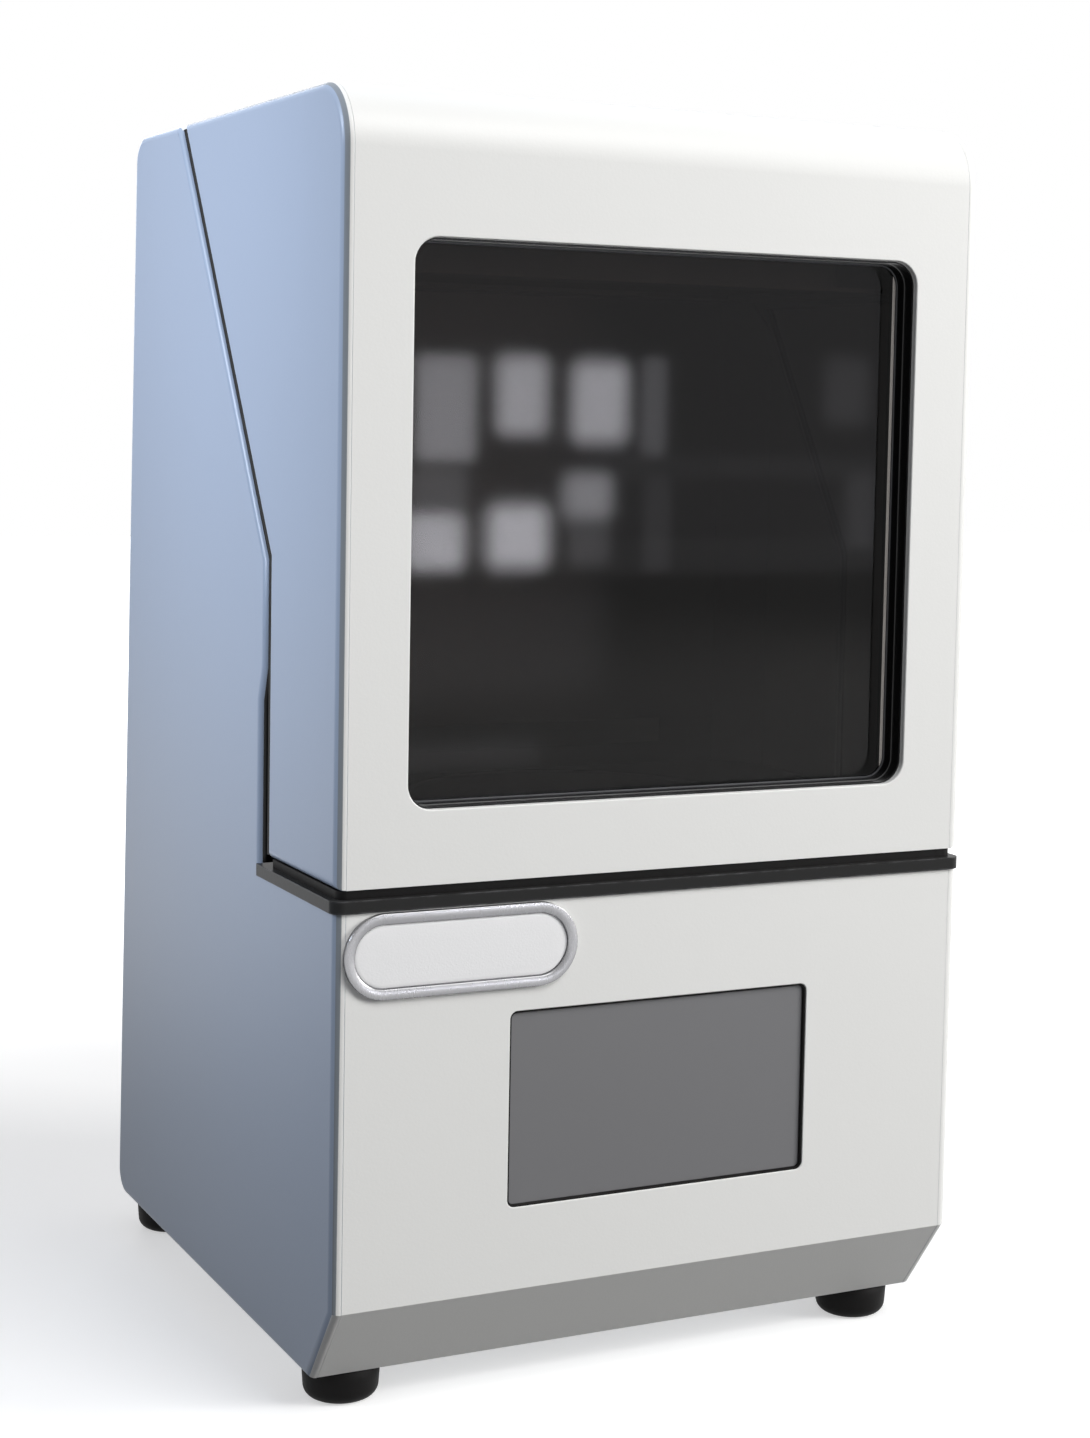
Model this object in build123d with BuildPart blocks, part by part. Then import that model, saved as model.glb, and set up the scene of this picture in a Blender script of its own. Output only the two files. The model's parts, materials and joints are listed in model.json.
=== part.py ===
from build123d import *
import math
import os

# A desktop light curing unit for dental resin work, as an assembly.
# Millimetres. +Z is up, the front faces -Y, and the origin lies in the middle of the
# footprint on the surface that the feet stand on. Left and right are as seen from the front.

# Housing
housing_width = 225.0
housing_depth = 234.0  # at the underside
housing_height = 400.5  # underside to top, without the feet
rear_lean = 18.0  # how far the back leans forward on its way to the top
side_plate = 3.5
side_edge_radius = 3.0
cover_wall = 3.0  # fascia, hood shell, column cap and rear panel
bevel_height = 26.8
bevel_depth = 20.4
fascia_flange = 5.0  # under the rim, behind the fascia's wall
top_roll_radius = 20.0
rear_corner = 6.0  # the back's corners, cut at 45 degrees
flange_depth = 5.0  # inner flanges of the side plates and cheeks, along X
flange_wall = 2.0

# Split between the hood and the column, seen from the side
column_depth = 56.25  # top edge of the split to the back, along the top
knee_drop = 145.9  # top to the knee, where the split turns to its slant
split_angle = math.radians(33.1)  # slant, from the vertical
split_gap = 3.5
scoop_depth = 5.5
scoop_drop = 35.6  # knee to the top of the finger scoop
scoop_slope = 11.0  # height over which the scoop runs out into the split

# Deck tray between base and hood
rim_height = 151.0  # underside to the bottom of the rim
rim_thickness = 4.0
rim_proud = 1.0
rim_corner = 4.0
hood_lift_gap = 3.0  # open joint between the rim and the hood
hood_flange = 6.5  # lower edge of the hood shell, turned inwards
plateau_height = 17.0  # chamber floor above the deck
plateau_front_gap = 11.0  # front face to the plateau
plateau_side_gap = 1.5
plateau_wall = 3.0
plateau_edge = 1.5
deck_shelf = 8.0  # deck behind the chamber's rear wall
seal_width = 3.0
seal_gap = 0.3

# Chamber reflector
chamber_back_gap = 79.0  # chamber's rear wall to the back's top edge
corner_run = 12.0  # how far each rear corner panel runs along X
corner_rise = 20.0  # and along Y
ceiling_drop = 55.5  # top to the chamber's ceiling
reflector_sheet = 1.0
lens_length = 136.0
lens_height = 9.0
lens_thickness = 3.0
lens_lift = 12.0  # chamber floor to the rear light's lens
lens_flange = 3.0
rear_board_end = 10.0  # rear LED board beyond each end of the lens
board_thickness = 1.6

# Hood hinge
hinge_offset = 26.0  # axis to the split line, square to it at its top edge
hood_opening = 70.0  # degrees
lip_length = 9.0  # column cap's front lip, down the slant
arm_width = 9.0
arm_thickness = 8.0
arm_inset = 21.0  # inner face of the side plate to the middle of an arm
arm_clearance = 2.0
arm_foot_length = 44.0
arm_foot_thickness = 5.0
hinge_pin_radius = 3.0
pin_clearance = 0.05
hub_radius = 9.0
ear_radius = 8.0
ear_thickness = 3.0
ear_gap = 0.4
pin_head_radius = 5.0
pin_head = 2.0
bracket_height = 24.0
beam_setback = 14.0  # hinge axis to the beam's front face
beam_depth = 15.5
beam_height = 26.0
beam_wall = 2.0
beam_rise = 7.0  # beam top above the hinge axis
post_width = 20.0
post_depth = 11.5
post_inset = 37.0  # side plate's inner face to the middle of a post

# Window
window_width = 178.6
window_drop = 45.7  # top to the opening's upper edge
window_sill = 23.3  # hood's lower edge to the opening's lower edge
window_corner = 8.0
bezel_fit = 0.1
bezel_recess = 2.0
bezel_lip = 0.5
bezel_step = 0.2
bezel_lip_depth = 6.7
bezel_depth = 10.4  # front face to the gasket's seat
bezel_border = 6.5
gasket_thickness = 0.8
gasket_show = 0.5  # rubber that shows round the pane
pane_overlap = 2.0
pane_thickness = 3.0
pane_fit = 0.3
retainer_thickness = 2.0

# Light head in the hood
tray_sheet = 1.5
tray_rib = 2.0
tray_rib_reach = 11.0
tray_gap = 2.7  # tray to the window's retainer and to the split
liner_fit = 4.0
light_length = 150.0
light_margin = 17.0  # tray's front and rear edge to the light
chimney_height = 18.0
chimney_wall = 2.0
diffuser_thickness = 2.0
diffuser_ledge = 1.0
chip_size = 5.0
chip_height = 1.0
chip_columns = 8
chip_rows = 3
chip_pitch_x = 17.0
chip_row_margin = 11.5  # edge of the light to its outer rows
heatsink_base = 4.0
fin_height = 13.0
fin_thickness = 2.0
fin_count = 8
fin_edge = 2.5  # heatsink's edge to its outer fins

# Turntable
recess_margin = 4.25  # turntable recess to the plateau's front and rear edges
turntable_gap = 1.5
recess_depth = 7.0
turntable_thickness = 3.0
turntable_shaft_radius = 3.5
shaft_passage = 1.0  # clearance where the shaft passes the deck
hub_boss_radius = 10.0
hub_thickness = 3.0
hub_arm_width = 8.0
hub_arm_reach = 40.0
hub_float = 1.0  # hub above the recess floor
motor_side = 42.0  # square stepper motor, screwed up through its corners
motor_corner = 4.5
motor_height = 18.0
motor_bore_depth = 12.0

# Display
display_width = 107.7
display_height = 62.8
display_lift = 53.3  # underside to the display opening
display_corner = 2.5
lens_recess = 1.5
lens_border = 4.0
module_border = 6.5
module_thickness = 6.0
module_fit = 0.2
cradle_wall = 2.0
cradle_length = 21.5

# Feet
foot_radius = 12.7
foot_height = 12.0
foot_inset_x = 16.5  # side face to the foot's axis
foot_front = 34.0  # front face to the front feet
foot_rear = 16.0  # rear edge of the underside to the rear feet
nut_boss_radius = 4.5

# Base
pan_sheet = 1.5
pan_flange = 12.0
pan_fit = 0.3
slip_fit = 0.1
slot_length = 40.0
slot_width = 4.0
slot_pitch = 10.0
slot_count = 6
board_length = 150.0
board_depth = 80.0
board_standoff = 8.0
board_hole_inset = 6.0
part_offset_x = 37.5
part_offset_y = 22.0
driver_size = 17.0
driver_height = 2.0
capacitor_radius = 5.0
capacitor_pitch = 12.5
terminal_length = 37.5
terminal_width = 9.0
terminal_height = 13.0
supply_length = 98.0
supply_depth = 84.0
supply_height = 38.0
supply_groove = 1.0

# Back
cap_skirt = 22.0
rear_flange = 3.0
fan_size = 80.0
fan_depth = 25.0
fan_bore_radius = 38.2
fan_height = 215.0  # along the rear panel, underside to the fan's axis
fan_hub_radius = 17.0
fan_shaft_radius = 2.0
fan_strut = 3.0
blade_count = 5
blade_thickness = 1.4
blade_pitch = math.radians(38)
blade_chord = 20.0
blade_camber = 1.5
blade_gap = 1.2
grille_slots = 9
grille_pitch = 8.0
inlet_inset = 47.0  # side plate's inner face to the mains inlet
inlet_height = 56.0
inlet_flange_width = 31.0
inlet_flange_height = 24.0
inlet_flange = 2.2
inlet_edge = 0.7
inlet_body_width = 27.0
inlet_body_height = 19.8
inlet_body_depth = 17.0
socket_width = 24.2
socket_height = 16.2
socket_depth = 15.5
socket_chamfer = 4.0
blade_pin_width = 2.0
blade_pin_height = 4.0
blade_pin_spacing = 14.0
earth_pin_rise = 4.0
pin_tip_recess = 3.0
pin_tail = 6.0
rocker_spacing = 38.0  # mains inlet to the rocker switch
rocker_tilt = 8.0  # degrees either side of level
rocker_flange_width = 17.0
rocker_flange_height = 24.0
rocker_flange = 1.6
rocker_body_width = 14.6
rocker_body_height = 21.6
rocker_body_depth = 14.0
rocker_well_width = 12.0
rocker_well_height = 19.0
rocker_well_depth = 9.0
rocker_fit = 0.25
rocker_float = 1.0  # rocker's foot above the well's floor
rocker_pivot_depth = 3.0
rocker_pivot_radius = 1.0
rocker_pivot_reach = 0.8
rocker_half_height = 7.9
rocker_crest = 4.2
rocker_valley = 2.0

# Interlock
magnet_radius = 3.0
magnet_height = 3.0
reed_length = 16.0
reed_width = 5.0
reed_height = 4.0

# Places that follow from the sizes above
front_y = -housing_depth / 2
back_y = housing_depth / 2
back_top_y = back_y - rear_lean
under_z = foot_height
top_z = under_z + housing_height
inner_half = housing_width / 2 - side_plate
chamber_half = inner_half - flange_depth
half_gap = split_gap / 2
rim_z = under_z + rim_height
deck_z = rim_z + rim_thickness
hood_z = deck_z + hood_lift_gap
floor_z = deck_z + plateau_height
ceiling_z = top_z - ceiling_drop
split_y = back_top_y - column_depth - knee_drop * math.tan(split_angle)
knee_z = top_z - knee_drop
scoop_y = split_y + scoop_depth
scoop_z = knee_z - scoop_drop
chamber_rear_y = back_top_y - chamber_back_gap
plateau_front_y = front_y + plateau_front_gap
plateau_rear_y = chamber_rear_y - plateau_side_gap
turntable_y = (plateau_front_y + plateau_rear_y) / 2
wall_y = front_y + cover_wall
roof_z = top_z - cover_wall
retainer_y = front_y + bezel_depth + gasket_thickness + pane_thickness + retainer_thickness


# The split line moved square to itself by offset, to the rear where offset is positive
def split_knee(offset):
    return (split_y + offset, knee_z - offset * math.tan(split_angle / 2))


def split_at(z, offset):
    slant = (z - knee_z) * math.tan(split_angle)
    return (split_y + offset / math.cos(split_angle) + slant, z)


def split_point(down, offset):
    top = split_at(top_z, 0)
    y = top[0] - down * math.sin(split_angle) + offset * math.cos(split_angle)
    z = top[1] - down * math.cos(split_angle) - offset * math.sin(split_angle)
    return (y, z)


tray_front_y = retainer_y + tray_gap
tray_rear_y = split_at(ceiling_z, -half_gap)[0] - tray_gap
tray_length = tray_rear_y - tray_front_y
light_y = (tray_front_y + tray_rear_y) / 2
light_depth = tray_length - 2 * light_margin
chip_pitch_y = (light_depth - 2 * chip_row_margin) / (chip_rows - 1)
hinge_y, hinge_z = split_point(0, hinge_offset)
arm_inner_radius = math.hypot(hinge_offset - half_gap, lip_length) + arm_clearance
arm_outer_radius = arm_inner_radius + arm_width
arm_x = inner_half - arm_inset

# The back's own plane: its local x runs to -X, its local y up the back, its normal outwards
lean_angle = math.atan2(rear_lean, housing_height)
rear_plane = Plane(
    origin=(0, back_y, under_z),
    x_dir=(-1, 0, 0),
    z_dir=(0, math.cos(lean_angle), math.sin(lean_angle)),
)


def on_back(across, up, out):
    return Plane(
        origin=rear_plane.from_local_coords((across, up, out)),
        x_dir=rear_plane.x_dir,
        z_dir=rear_plane.z_dir,
    )


def back_point(up):
    spot = rear_plane.from_local_coords((0, up, 0))
    return (spot.Y, spot.Z)


back_run = math.hypot(housing_height, rear_lean)
top_corner = [(back_top_y - rear_corner, top_z), back_point(back_run - rear_corner)]
low_corner = [back_point(rear_corner), (back_y - rear_corner, under_z)]
skirt_end = back_point(back_run - cap_skirt)

made = {}


def keep(name, piece):
    piece.label = name
    made[name] = piece


# ---- Side plates of the body ------------------------------------------------------
with BuildPart() as side_panel_left:
    with BuildSketch(Plane.YZ.offset(-housing_width / 2)) as body_side:
        with BuildLine():
            Polyline(
                (front_y + bevel_depth, under_z),
                (front_y, under_z + bevel_height),
                (front_y, rim_z),
                (scoop_y, rim_z),
                (scoop_y, scoop_z - scoop_slope),
                (split_y + half_gap, scoop_z),
                split_knee(half_gap),
                split_at(top_z, half_gap),
                *top_corner,
                *low_corner,
                close=True,
            )
        make_face()
    extrude(amount=side_plate)
    outer_face = side_panel_left.faces().sort_by(Axis.X)[0]
    seat = outer_face.edges().filter_by(Axis.Y).sort_by_distance((0, front_y, rim_z))[0]
    fillet([edge for edge in outer_face.edges() if edge != seat], side_edge_radius)
    with BuildSketch(Plane.YZ.offset(-inner_half)):
        with BuildLine():
            Polyline(
                (scoop_y, deck_z),
                (scoop_y, scoop_z - scoop_slope),
                (split_y + half_gap, scoop_z),
                split_knee(half_gap),
                split_point(lip_length, half_gap),
            )
            offset(amount=flange_wall, side=Side.RIGHT)
        make_face()
    extrude(amount=flange_depth)
keep("side_panel_left", side_panel_left.part)

with BuildPart() as side_panel_right:
    mirror(side_panel_left.part, about=Plane.YZ)
keep("side_panel_right", side_panel_right.part)

# ---- Lower fascia with the display opening ----------------------------------------
display_z = under_z + display_lift + display_height / 2
with BuildPart() as lower_fascia:
    with BuildSketch(Plane.YZ):
        with BuildLine():
            Polyline(
                (front_y + bevel_depth, under_z),
                (front_y, under_z + bevel_height),
                (front_y, rim_z),
                (wall_y + fascia_flange, rim_z),
            )
            offset(amount=cover_wall, side=Side.RIGHT)
        make_face()
    extrude(amount=inner_half, both=True)
    front_plane = Plane(origin=(0, front_y, display_z), x_dir=(1, 0, 0), z_dir=(0, -1, 0))
    with BuildSketch(front_plane):
        RectangleRounded(display_width, display_height, display_corner)
    extrude(amount=-cover_wall, mode=Mode.SUBTRACT)
    with BuildSketch(front_plane.offset(-lens_recess)):
        Rectangle(display_width + 2 * lens_border, display_height + 2 * lens_border)
    extrude(amount=lens_recess - cover_wall, mode=Mode.SUBTRACT)
    cradle_half = display_height / 2 + module_border + module_fit + cradle_wall / 2
    with BuildSketch(front_plane.offset(-cover_wall)):
        with GridLocations(display_width / 2, 2 * cradle_half, 2, 2):
            Rectangle(cradle_length, cradle_wall)
    extrude(amount=-module_thickness - cradle_wall)
keep("lower_fascia", lower_fascia.part)

# ---- Display ------------------------------------------------------------------------
with BuildPart() as display_lens:
    with BuildSketch(front_plane.offset(-cover_wall)):
        Rectangle(
            display_width + 2 * (lens_border - module_fit),
            display_height + 2 * (lens_border - module_fit),
        )
    extrude(amount=cover_wall - lens_recess)
keep("display_lens", display_lens.part)

with BuildPart() as display_module:
    with BuildSketch(front_plane.offset(-cover_wall)):
        Rectangle(
            display_width + 2 * module_border,
            display_height + 2 * module_border,
        )
    extrude(amount=-module_thickness)
    chamfer(display_module.edges().filter_by(Axis.Y), cradle_wall)
    with BuildSketch(front_plane.offset(-cover_wall - module_thickness)):
        Rectangle(display_width / 2, display_height / 2)
    extrude(amount=-cradle_wall)
keep("display_module", display_module.part)

# ---- Deck tray: rim, chamber floor and turntable recess -----------------------------
recess_radius = (plateau_rear_y - plateau_front_y) / 2 - recess_margin
turntable_radius = recess_radius - turntable_gap
recess_z = floor_z - recess_depth
plateau_inset = reflector_sheet + plateau_side_gap
hollow_inset = plateau_inset + plateau_wall
passage_radius = turntable_shaft_radius + shaft_passage


# Plan of the chamber's back, from its left wing round the angled corners to its right wing
def chamber_plan(start_y):
    rear_y = chamber_rear_y + reflector_sheet
    left = [
        (-chamber_half, start_y),
        (-chamber_half, rear_y - corner_rise),
        (corner_run - chamber_half, rear_y),
    ]
    return left + [(-x, y) for x, y in reversed(left)]


with BuildPart() as deck_tray:
    with BuildSketch(Plane.XY.offset(rim_z)) as rim:
        with BuildLine():
            proud_half = housing_width / 2 + rim_proud
            deck_rear_y = chamber_rear_y + deck_shelf
            Polyline(
                (-proud_half, front_y - rim_proud),
                (-proud_half, scoop_y),
                (-inner_half, scoop_y),
                (-inner_half, deck_rear_y),
                (inner_half, deck_rear_y),
                (inner_half, scoop_y),
                (proud_half, scoop_y),
                (proud_half, front_y - rim_proud),
                close=True,
            )
        make_face()
        fillet(rim.vertices().group_by(Axis.Y)[0], rim_corner)
    extrude(amount=rim_thickness)
    with BuildSketch(Plane.XY.offset(rim_z)):
        with BuildLine():
            Polyline(chamber_plan(plateau_front_y - plateau_inset), close=True)
        make_face()
        offset(amount=-plateau_inset, kind=Kind.INTERSECTION)
    extrude(amount=floor_z - rim_z)
    plateau_top = deck_tray.faces().sort_by(Axis.Z)[-1]
    chamfer(plateau_top.edges(), plateau_edge)
    with BuildSketch(Plane.XY.offset(rim_z)):
        with BuildLine():
            Polyline(chamber_plan(plateau_front_y - plateau_inset), close=True)
        make_face()
        offset(amount=-hollow_inset, kind=Kind.INTERSECTION)
    extrude(amount=floor_z - plateau_wall - rim_z, mode=Mode.SUBTRACT)
    with BuildSketch(Plane.XY.offset(floor_z)):
        with Locations((0, turntable_y)):
            Circle(recess_radius + plateau_wall)
    extrude(amount=-recess_depth - plateau_wall)
    with BuildSketch(Plane.XY.offset(floor_z)):
        with Locations((0, turntable_y)):
            Circle(recess_radius)
    extrude(amount=-recess_depth, mode=Mode.SUBTRACT)
    with Locations((0, turntable_y, floor_z)):
        Hole(passage_radius)
keep("deck_tray", deck_tray.part)

with BuildPart() as deck_seal:
    seal_x = inner_half - flange_depth / 2
    seal_y = wall_y + seal_width / 2
    seal_end = split_y - half_gap - flange_wall
    with BuildSketch(Plane.XY.offset(deck_z)):
        with BuildLine():
            Polyline(
                (-seal_x - seal_width / 2, seal_end),
                (-seal_x - seal_width / 2, seal_y),
                (seal_x + seal_width / 2, seal_y),
                (seal_x + seal_width / 2, seal_end),
            )
            offset(amount=seal_width, side=Side.RIGHT)
        make_face()
    extrude(amount=hood_lift_gap - seal_gap)
keep("deck_seal", deck_seal.part)

# ---- Chamber reflector and the rear light ------------------------------------------
lens_z = floor_z + lens_lift
rear_wall = Plane(origin=(0, chamber_rear_y, lens_z), x_dir=(1, 0, 0), z_dir=(0, -1, 0))
with BuildPart() as chamber_reflector:
    with BuildSketch(Plane.XY.offset(deck_z)):
        with BuildLine():
            Polyline(chamber_plan(split_y + half_gap))
            offset(amount=reflector_sheet, side=Side.RIGHT)
        make_face()
    extrude(amount=ceiling_z - deck_z)
    with BuildSketch(Plane.XY.offset(ceiling_z)):
        with BuildLine():
            Polyline(chamber_plan(split_y + half_gap), close=True)
        make_face()
    extrude(amount=reflector_sheet)
    with BuildSketch(Plane.YZ):
        with BuildLine():
            Polyline(
                (front_y, deck_z),
                (split_y + half_gap, deck_z),
                split_knee(half_gap),
                split_at(ceiling_z + reflector_sheet, half_gap),
                (front_y, ceiling_z + reflector_sheet),
                close=True,
            )
        make_face()
    extrude(amount=chamber_half, both=True, mode=Mode.SUBTRACT)
    with BuildSketch(rear_wall):
        Rectangle(lens_length, lens_height)
    extrude(amount=-reflector_sheet, mode=Mode.SUBTRACT)
keep("chamber_reflector", chamber_reflector.part)

with BuildPart() as rear_light_lens:
    with BuildSketch(rear_wall.offset(-reflector_sheet)):
        Rectangle(lens_length, lens_height)
    extrude(amount=2 * reflector_sheet)
    with BuildSketch(rear_wall.offset(-reflector_sheet)):
        Rectangle(lens_length + 2 * lens_flange, lens_height + 2 * lens_flange)
    extrude(amount=reflector_sheet - lens_thickness)
keep("rear_light_lens", rear_light_lens.part)

with BuildPart() as rear_led_board:
    board_back = rear_wall.offset(-lens_thickness - chip_height)
    board_run = lens_length + 2 * (lens_flange + rear_board_end)
    with BuildSketch(board_back):
        Rectangle(board_run, lens_height + 2 * lens_flange)
    extrude(amount=-board_thickness)
    with BuildSketch(board_back):
        with GridLocations(chip_pitch_x, 0, chip_columns, 1):
            Rectangle(chip_size, chip_size)
    extrude(amount=chip_height)
    with BuildSketch(board_back):
        with GridLocations(board_run - chip_size, 0, 2, 1):
            Rectangle(chip_size, lens_height)
    extrude(amount=lens_thickness + chip_height - reflector_sheet)
keep("rear_led_board", rear_led_board.part)

# ---- Column: cap, slotted cover over the hinges, rear panel ---------------------------
with BuildPart() as column_cap:
    with BuildSketch(Plane.YZ):
        with BuildLine():
            Polyline(
                split_point(lip_length, half_gap),
                split_at(top_z, half_gap),
                *top_corner,
                skirt_end,
            )
            offset(amount=cover_wall, side=Side.RIGHT)
        make_face()
    extrude(amount=inner_half, both=True)
keep("column_cap", column_cap.part)

roof_top = ceiling_z + reflector_sheet
slant_plane = Plane(
    origin=(0, *split_point(0, half_gap)),
    x_dir=(1, 0, 0),
    z_dir=(0, -math.cos(split_angle), math.sin(split_angle)),
)
slot_reach = math.sqrt(
    (arm_outer_radius + arm_clearance) ** 2 - (hinge_offset - half_gap - cover_wall) ** 2
)
with BuildPart() as hinge_cover:
    with BuildSketch(Plane.YZ):
        with BuildLine():
            Polyline(
                split_at(roof_top, half_gap),
                split_point(lip_length, half_gap),
                split_point(lip_length, half_gap + cover_wall),
                split_at(roof_top, half_gap + cover_wall),
                close=True,
            )
        make_face()
    extrude(amount=chamber_half, both=True)
    with BuildSketch(slant_plane):
        with Locations((-arm_x, 0), (arm_x, 0)):
            Rectangle(arm_thickness + 2 * arm_clearance, 2 * slot_reach)
    extrude(amount=-cover_wall, mode=Mode.SUBTRACT)
keep("hinge_cover", hinge_cover.part)

fan_plane = on_back(0, fan_height, -cover_wall)
inlet_offset = inner_half - inlet_inset
inlet_plane = on_back(inlet_offset, inlet_height, 0)
rocker_plane = on_back(inlet_offset - rocker_spacing, inlet_height, 0)
with BuildPart() as rear_panel:
    with BuildSketch(Plane.YZ):
        with BuildLine():
            Polyline(
                (back_y - rear_corner - rear_flange, under_z),
                *reversed(low_corner),
                skirt_end,
            )
            offset(amount=cover_wall, side=Side.LEFT)
        make_face()
    extrude(amount=inner_half, both=True)
    with BuildSketch(fan_plane):
        reach = fan_bore_radius - grille_pitch / 2
        rows = range(-(grille_slots // 2), grille_slots // 2 + 1)
        for row in rows:
            drop = row * grille_pitch
            with Locations((0, drop)):
                Rectangle(2 * math.sqrt(reach**2 - drop**2), grille_pitch / 2)
    extrude(amount=cover_wall, mode=Mode.SUBTRACT)
    with BuildSketch(inlet_plane):
        Rectangle(inlet_body_width, inlet_body_height)
    extrude(amount=-cover_wall, mode=Mode.SUBTRACT)
    with BuildSketch(rocker_plane):
        Rectangle(rocker_body_width, rocker_body_height)
    extrude(amount=-cover_wall, mode=Mode.SUBTRACT)
keep("rear_panel", rear_panel.part)

# ---- Chassis: beam, posts and hinge brackets --------------------------------------------
beam_y = hinge_y + beam_setback
beam_z = hinge_z + beam_rise - beam_height
with BuildPart() as hinge_beam:
    with BuildSketch(Plane.YZ):
        with BuildLine():
            Polyline(
                (beam_y + beam_depth, beam_z),
                (beam_y, beam_z),
                (beam_y, beam_z + beam_height),
                (beam_y + beam_depth, beam_z + beam_height),
            )
            offset(amount=beam_wall, side=Side.RIGHT)
        make_face()
    extrude(amount=inner_half, both=True)
keep("hinge_beam", hinge_beam.part)

post_offset = inner_half - post_inset
with BuildPart() as chassis_post_left:
    with BuildSketch(Plane.XY.offset(under_z + pan_sheet)):
        with BuildLine():
            Polyline(
                (-post_offset - post_width / 2, beam_y + post_depth),
                (-post_offset - post_width / 2, beam_y),
                (-post_offset + post_width / 2, beam_y),
                (-post_offset + post_width / 2, beam_y + post_depth),
            )
            offset(amount=beam_wall, side=Side.LEFT)
        make_face()
    extrude(amount=beam_z - under_z - pan_sheet)
keep("chassis_post_left", chassis_post_left.part)

with BuildPart() as chassis_post_right:
    mirror(chassis_post_left.part, about=Plane.YZ)
keep("chassis_post_right", chassis_post_right.part)

ear_offset = arm_thickness / 2 + ear_gap
bracket_half = ear_offset + 2 * ear_thickness + ear_radius
bracket_z = hinge_z + beam_rise - bracket_height / 2
with BuildPart() as hinge_bracket_left:
    with BuildSketch(Plane.XZ.offset(-beam_y)):
        with Locations((-arm_x, bracket_z)):
            Rectangle(2 * bracket_half, bracket_height)
    extrude(amount=ear_thickness)
    for ear_x in (-arm_x - ear_offset - ear_thickness, -arm_x + ear_offset):
        with BuildSketch(Plane.YZ.offset(ear_x)):
            with Locations((hinge_y, hinge_z)):
                RegularPolygon(ear_radius, 8, rotation=22.5)
            with Locations((beam_y - ear_thickness / 2, bracket_z)):
                Rectangle(ear_thickness, bracket_height)
            make_hull()
            with Locations((hinge_y, hinge_z)):
                Circle(hinge_pin_radius + pin_clearance, mode=Mode.SUBTRACT)
        extrude(amount=ear_thickness)
keep("hinge_bracket_left", hinge_bracket_left.part)

with BuildPart() as hinge_bracket_right:
    mirror(hinge_bracket_left.part, about=Plane.YZ)
keep("hinge_bracket_right", hinge_bracket_right.part)

with BuildPart() as hinge_pins:
    pin_start = arm_x - ear_offset - ear_thickness
    pin_run = 2 * (ear_offset + ear_thickness) + pin_head
    for side in (-1, 1):
        with BuildSketch(Plane.YZ.offset(side * pin_start)):
            with Locations((hinge_y, hinge_z)):
                RegularPolygon(pin_head_radius, 6)
        extrude(amount=-side * pin_head)
        with BuildSketch(Plane.YZ.offset(side * pin_start)):
            with Locations((hinge_y, hinge_z)):
                Circle(hinge_pin_radius)
        extrude(amount=side * pin_run)
keep("hinge_pins", hinge_pins.part)

# ---- Base: bottom plate, feet and their screws -----------------------------------------
bevel_angle = math.atan2(bevel_depth, bevel_height)
pan_front_y = front_y + bevel_depth + cover_wall * math.cos(bevel_angle) + pan_fit
pan_rear_y = back_y - rear_corner - rear_flange - pan_fit
pan_top_z = under_z + pan_sheet
foot_x = housing_width / 2 - foot_inset_x
foot_spots = {
    "foot_front_left": (-foot_x, front_y + foot_front),
    "foot_front_right": (foot_x, front_y + foot_front),
    "foot_rear_left": (-foot_x, back_y - foot_rear),
    "foot_rear_right": (foot_x, back_y - foot_rear),
}
board_y = pan_front_y + 2 * pan_sheet + board_depth / 2
supply_y = board_y + board_depth / 2 + 2 * pan_sheet + supply_depth / 2
stand_x = board_length - 2 * board_hole_inset
stand_y = board_depth - 2 * board_hole_inset
slot_x = (inner_half + supply_length / 2) / 2
with BuildPart() as bottom_plate:
    with BuildSketch(Plane.XY.offset(under_z)):
        with Locations((0, (pan_front_y + pan_rear_y) / 2)):
            Rectangle(2 * inner_half, pan_rear_y - pan_front_y)
    extrude(amount=pan_flange)
    with BuildSketch(Plane.XY.offset(pan_top_z)):
        with Locations((0, (pan_front_y + pan_rear_y) / 2)):
            Rectangle(
                2 * (inner_half - pan_sheet),
                pan_rear_y - pan_front_y - 2 * pan_sheet,
            )
    extrude(amount=pan_flange, mode=Mode.SUBTRACT)
    with BuildSketch(Plane.XY.offset(pan_top_z)):
        with Locations(*foot_spots.values()):
            RegularPolygon(nut_boss_radius, 6)
        with Locations((0, board_y)):
            with GridLocations(stand_x, stand_y, 2, 2):
                RegularPolygon(nut_boss_radius, 6)
    extrude(amount=board_standoff)
    with BuildSketch(Plane.XY.offset(under_z)):
        with Locations((0, supply_y - supply_depth / 4)):
            with GridLocations(2 * slot_x, slot_pitch, 2, slot_count):
                Rectangle(slot_length, slot_width)
    extrude(amount=pan_sheet, mode=Mode.SUBTRACT)
keep("bottom_plate", bottom_plate.part)

for name, (x, y) in foot_spots.items():
    with BuildPart() as foot:
        with Locations((x, y, 0)):
            Cylinder(foot_radius, foot_height, align=(Align.CENTER, Align.CENTER, Align.MIN))
    keep(name, foot.part)

# ---- Electronics in the base --------------------------------------------------------------
board_z = pan_top_z + board_standoff
with BuildPart() as main_board:
    with BuildSketch(Plane.XY.offset(board_z)):
        with Locations((0, board_y)):
            Rectangle(board_length, board_depth)
    extrude(amount=board_thickness)
keep("main_board", main_board.part)

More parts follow.
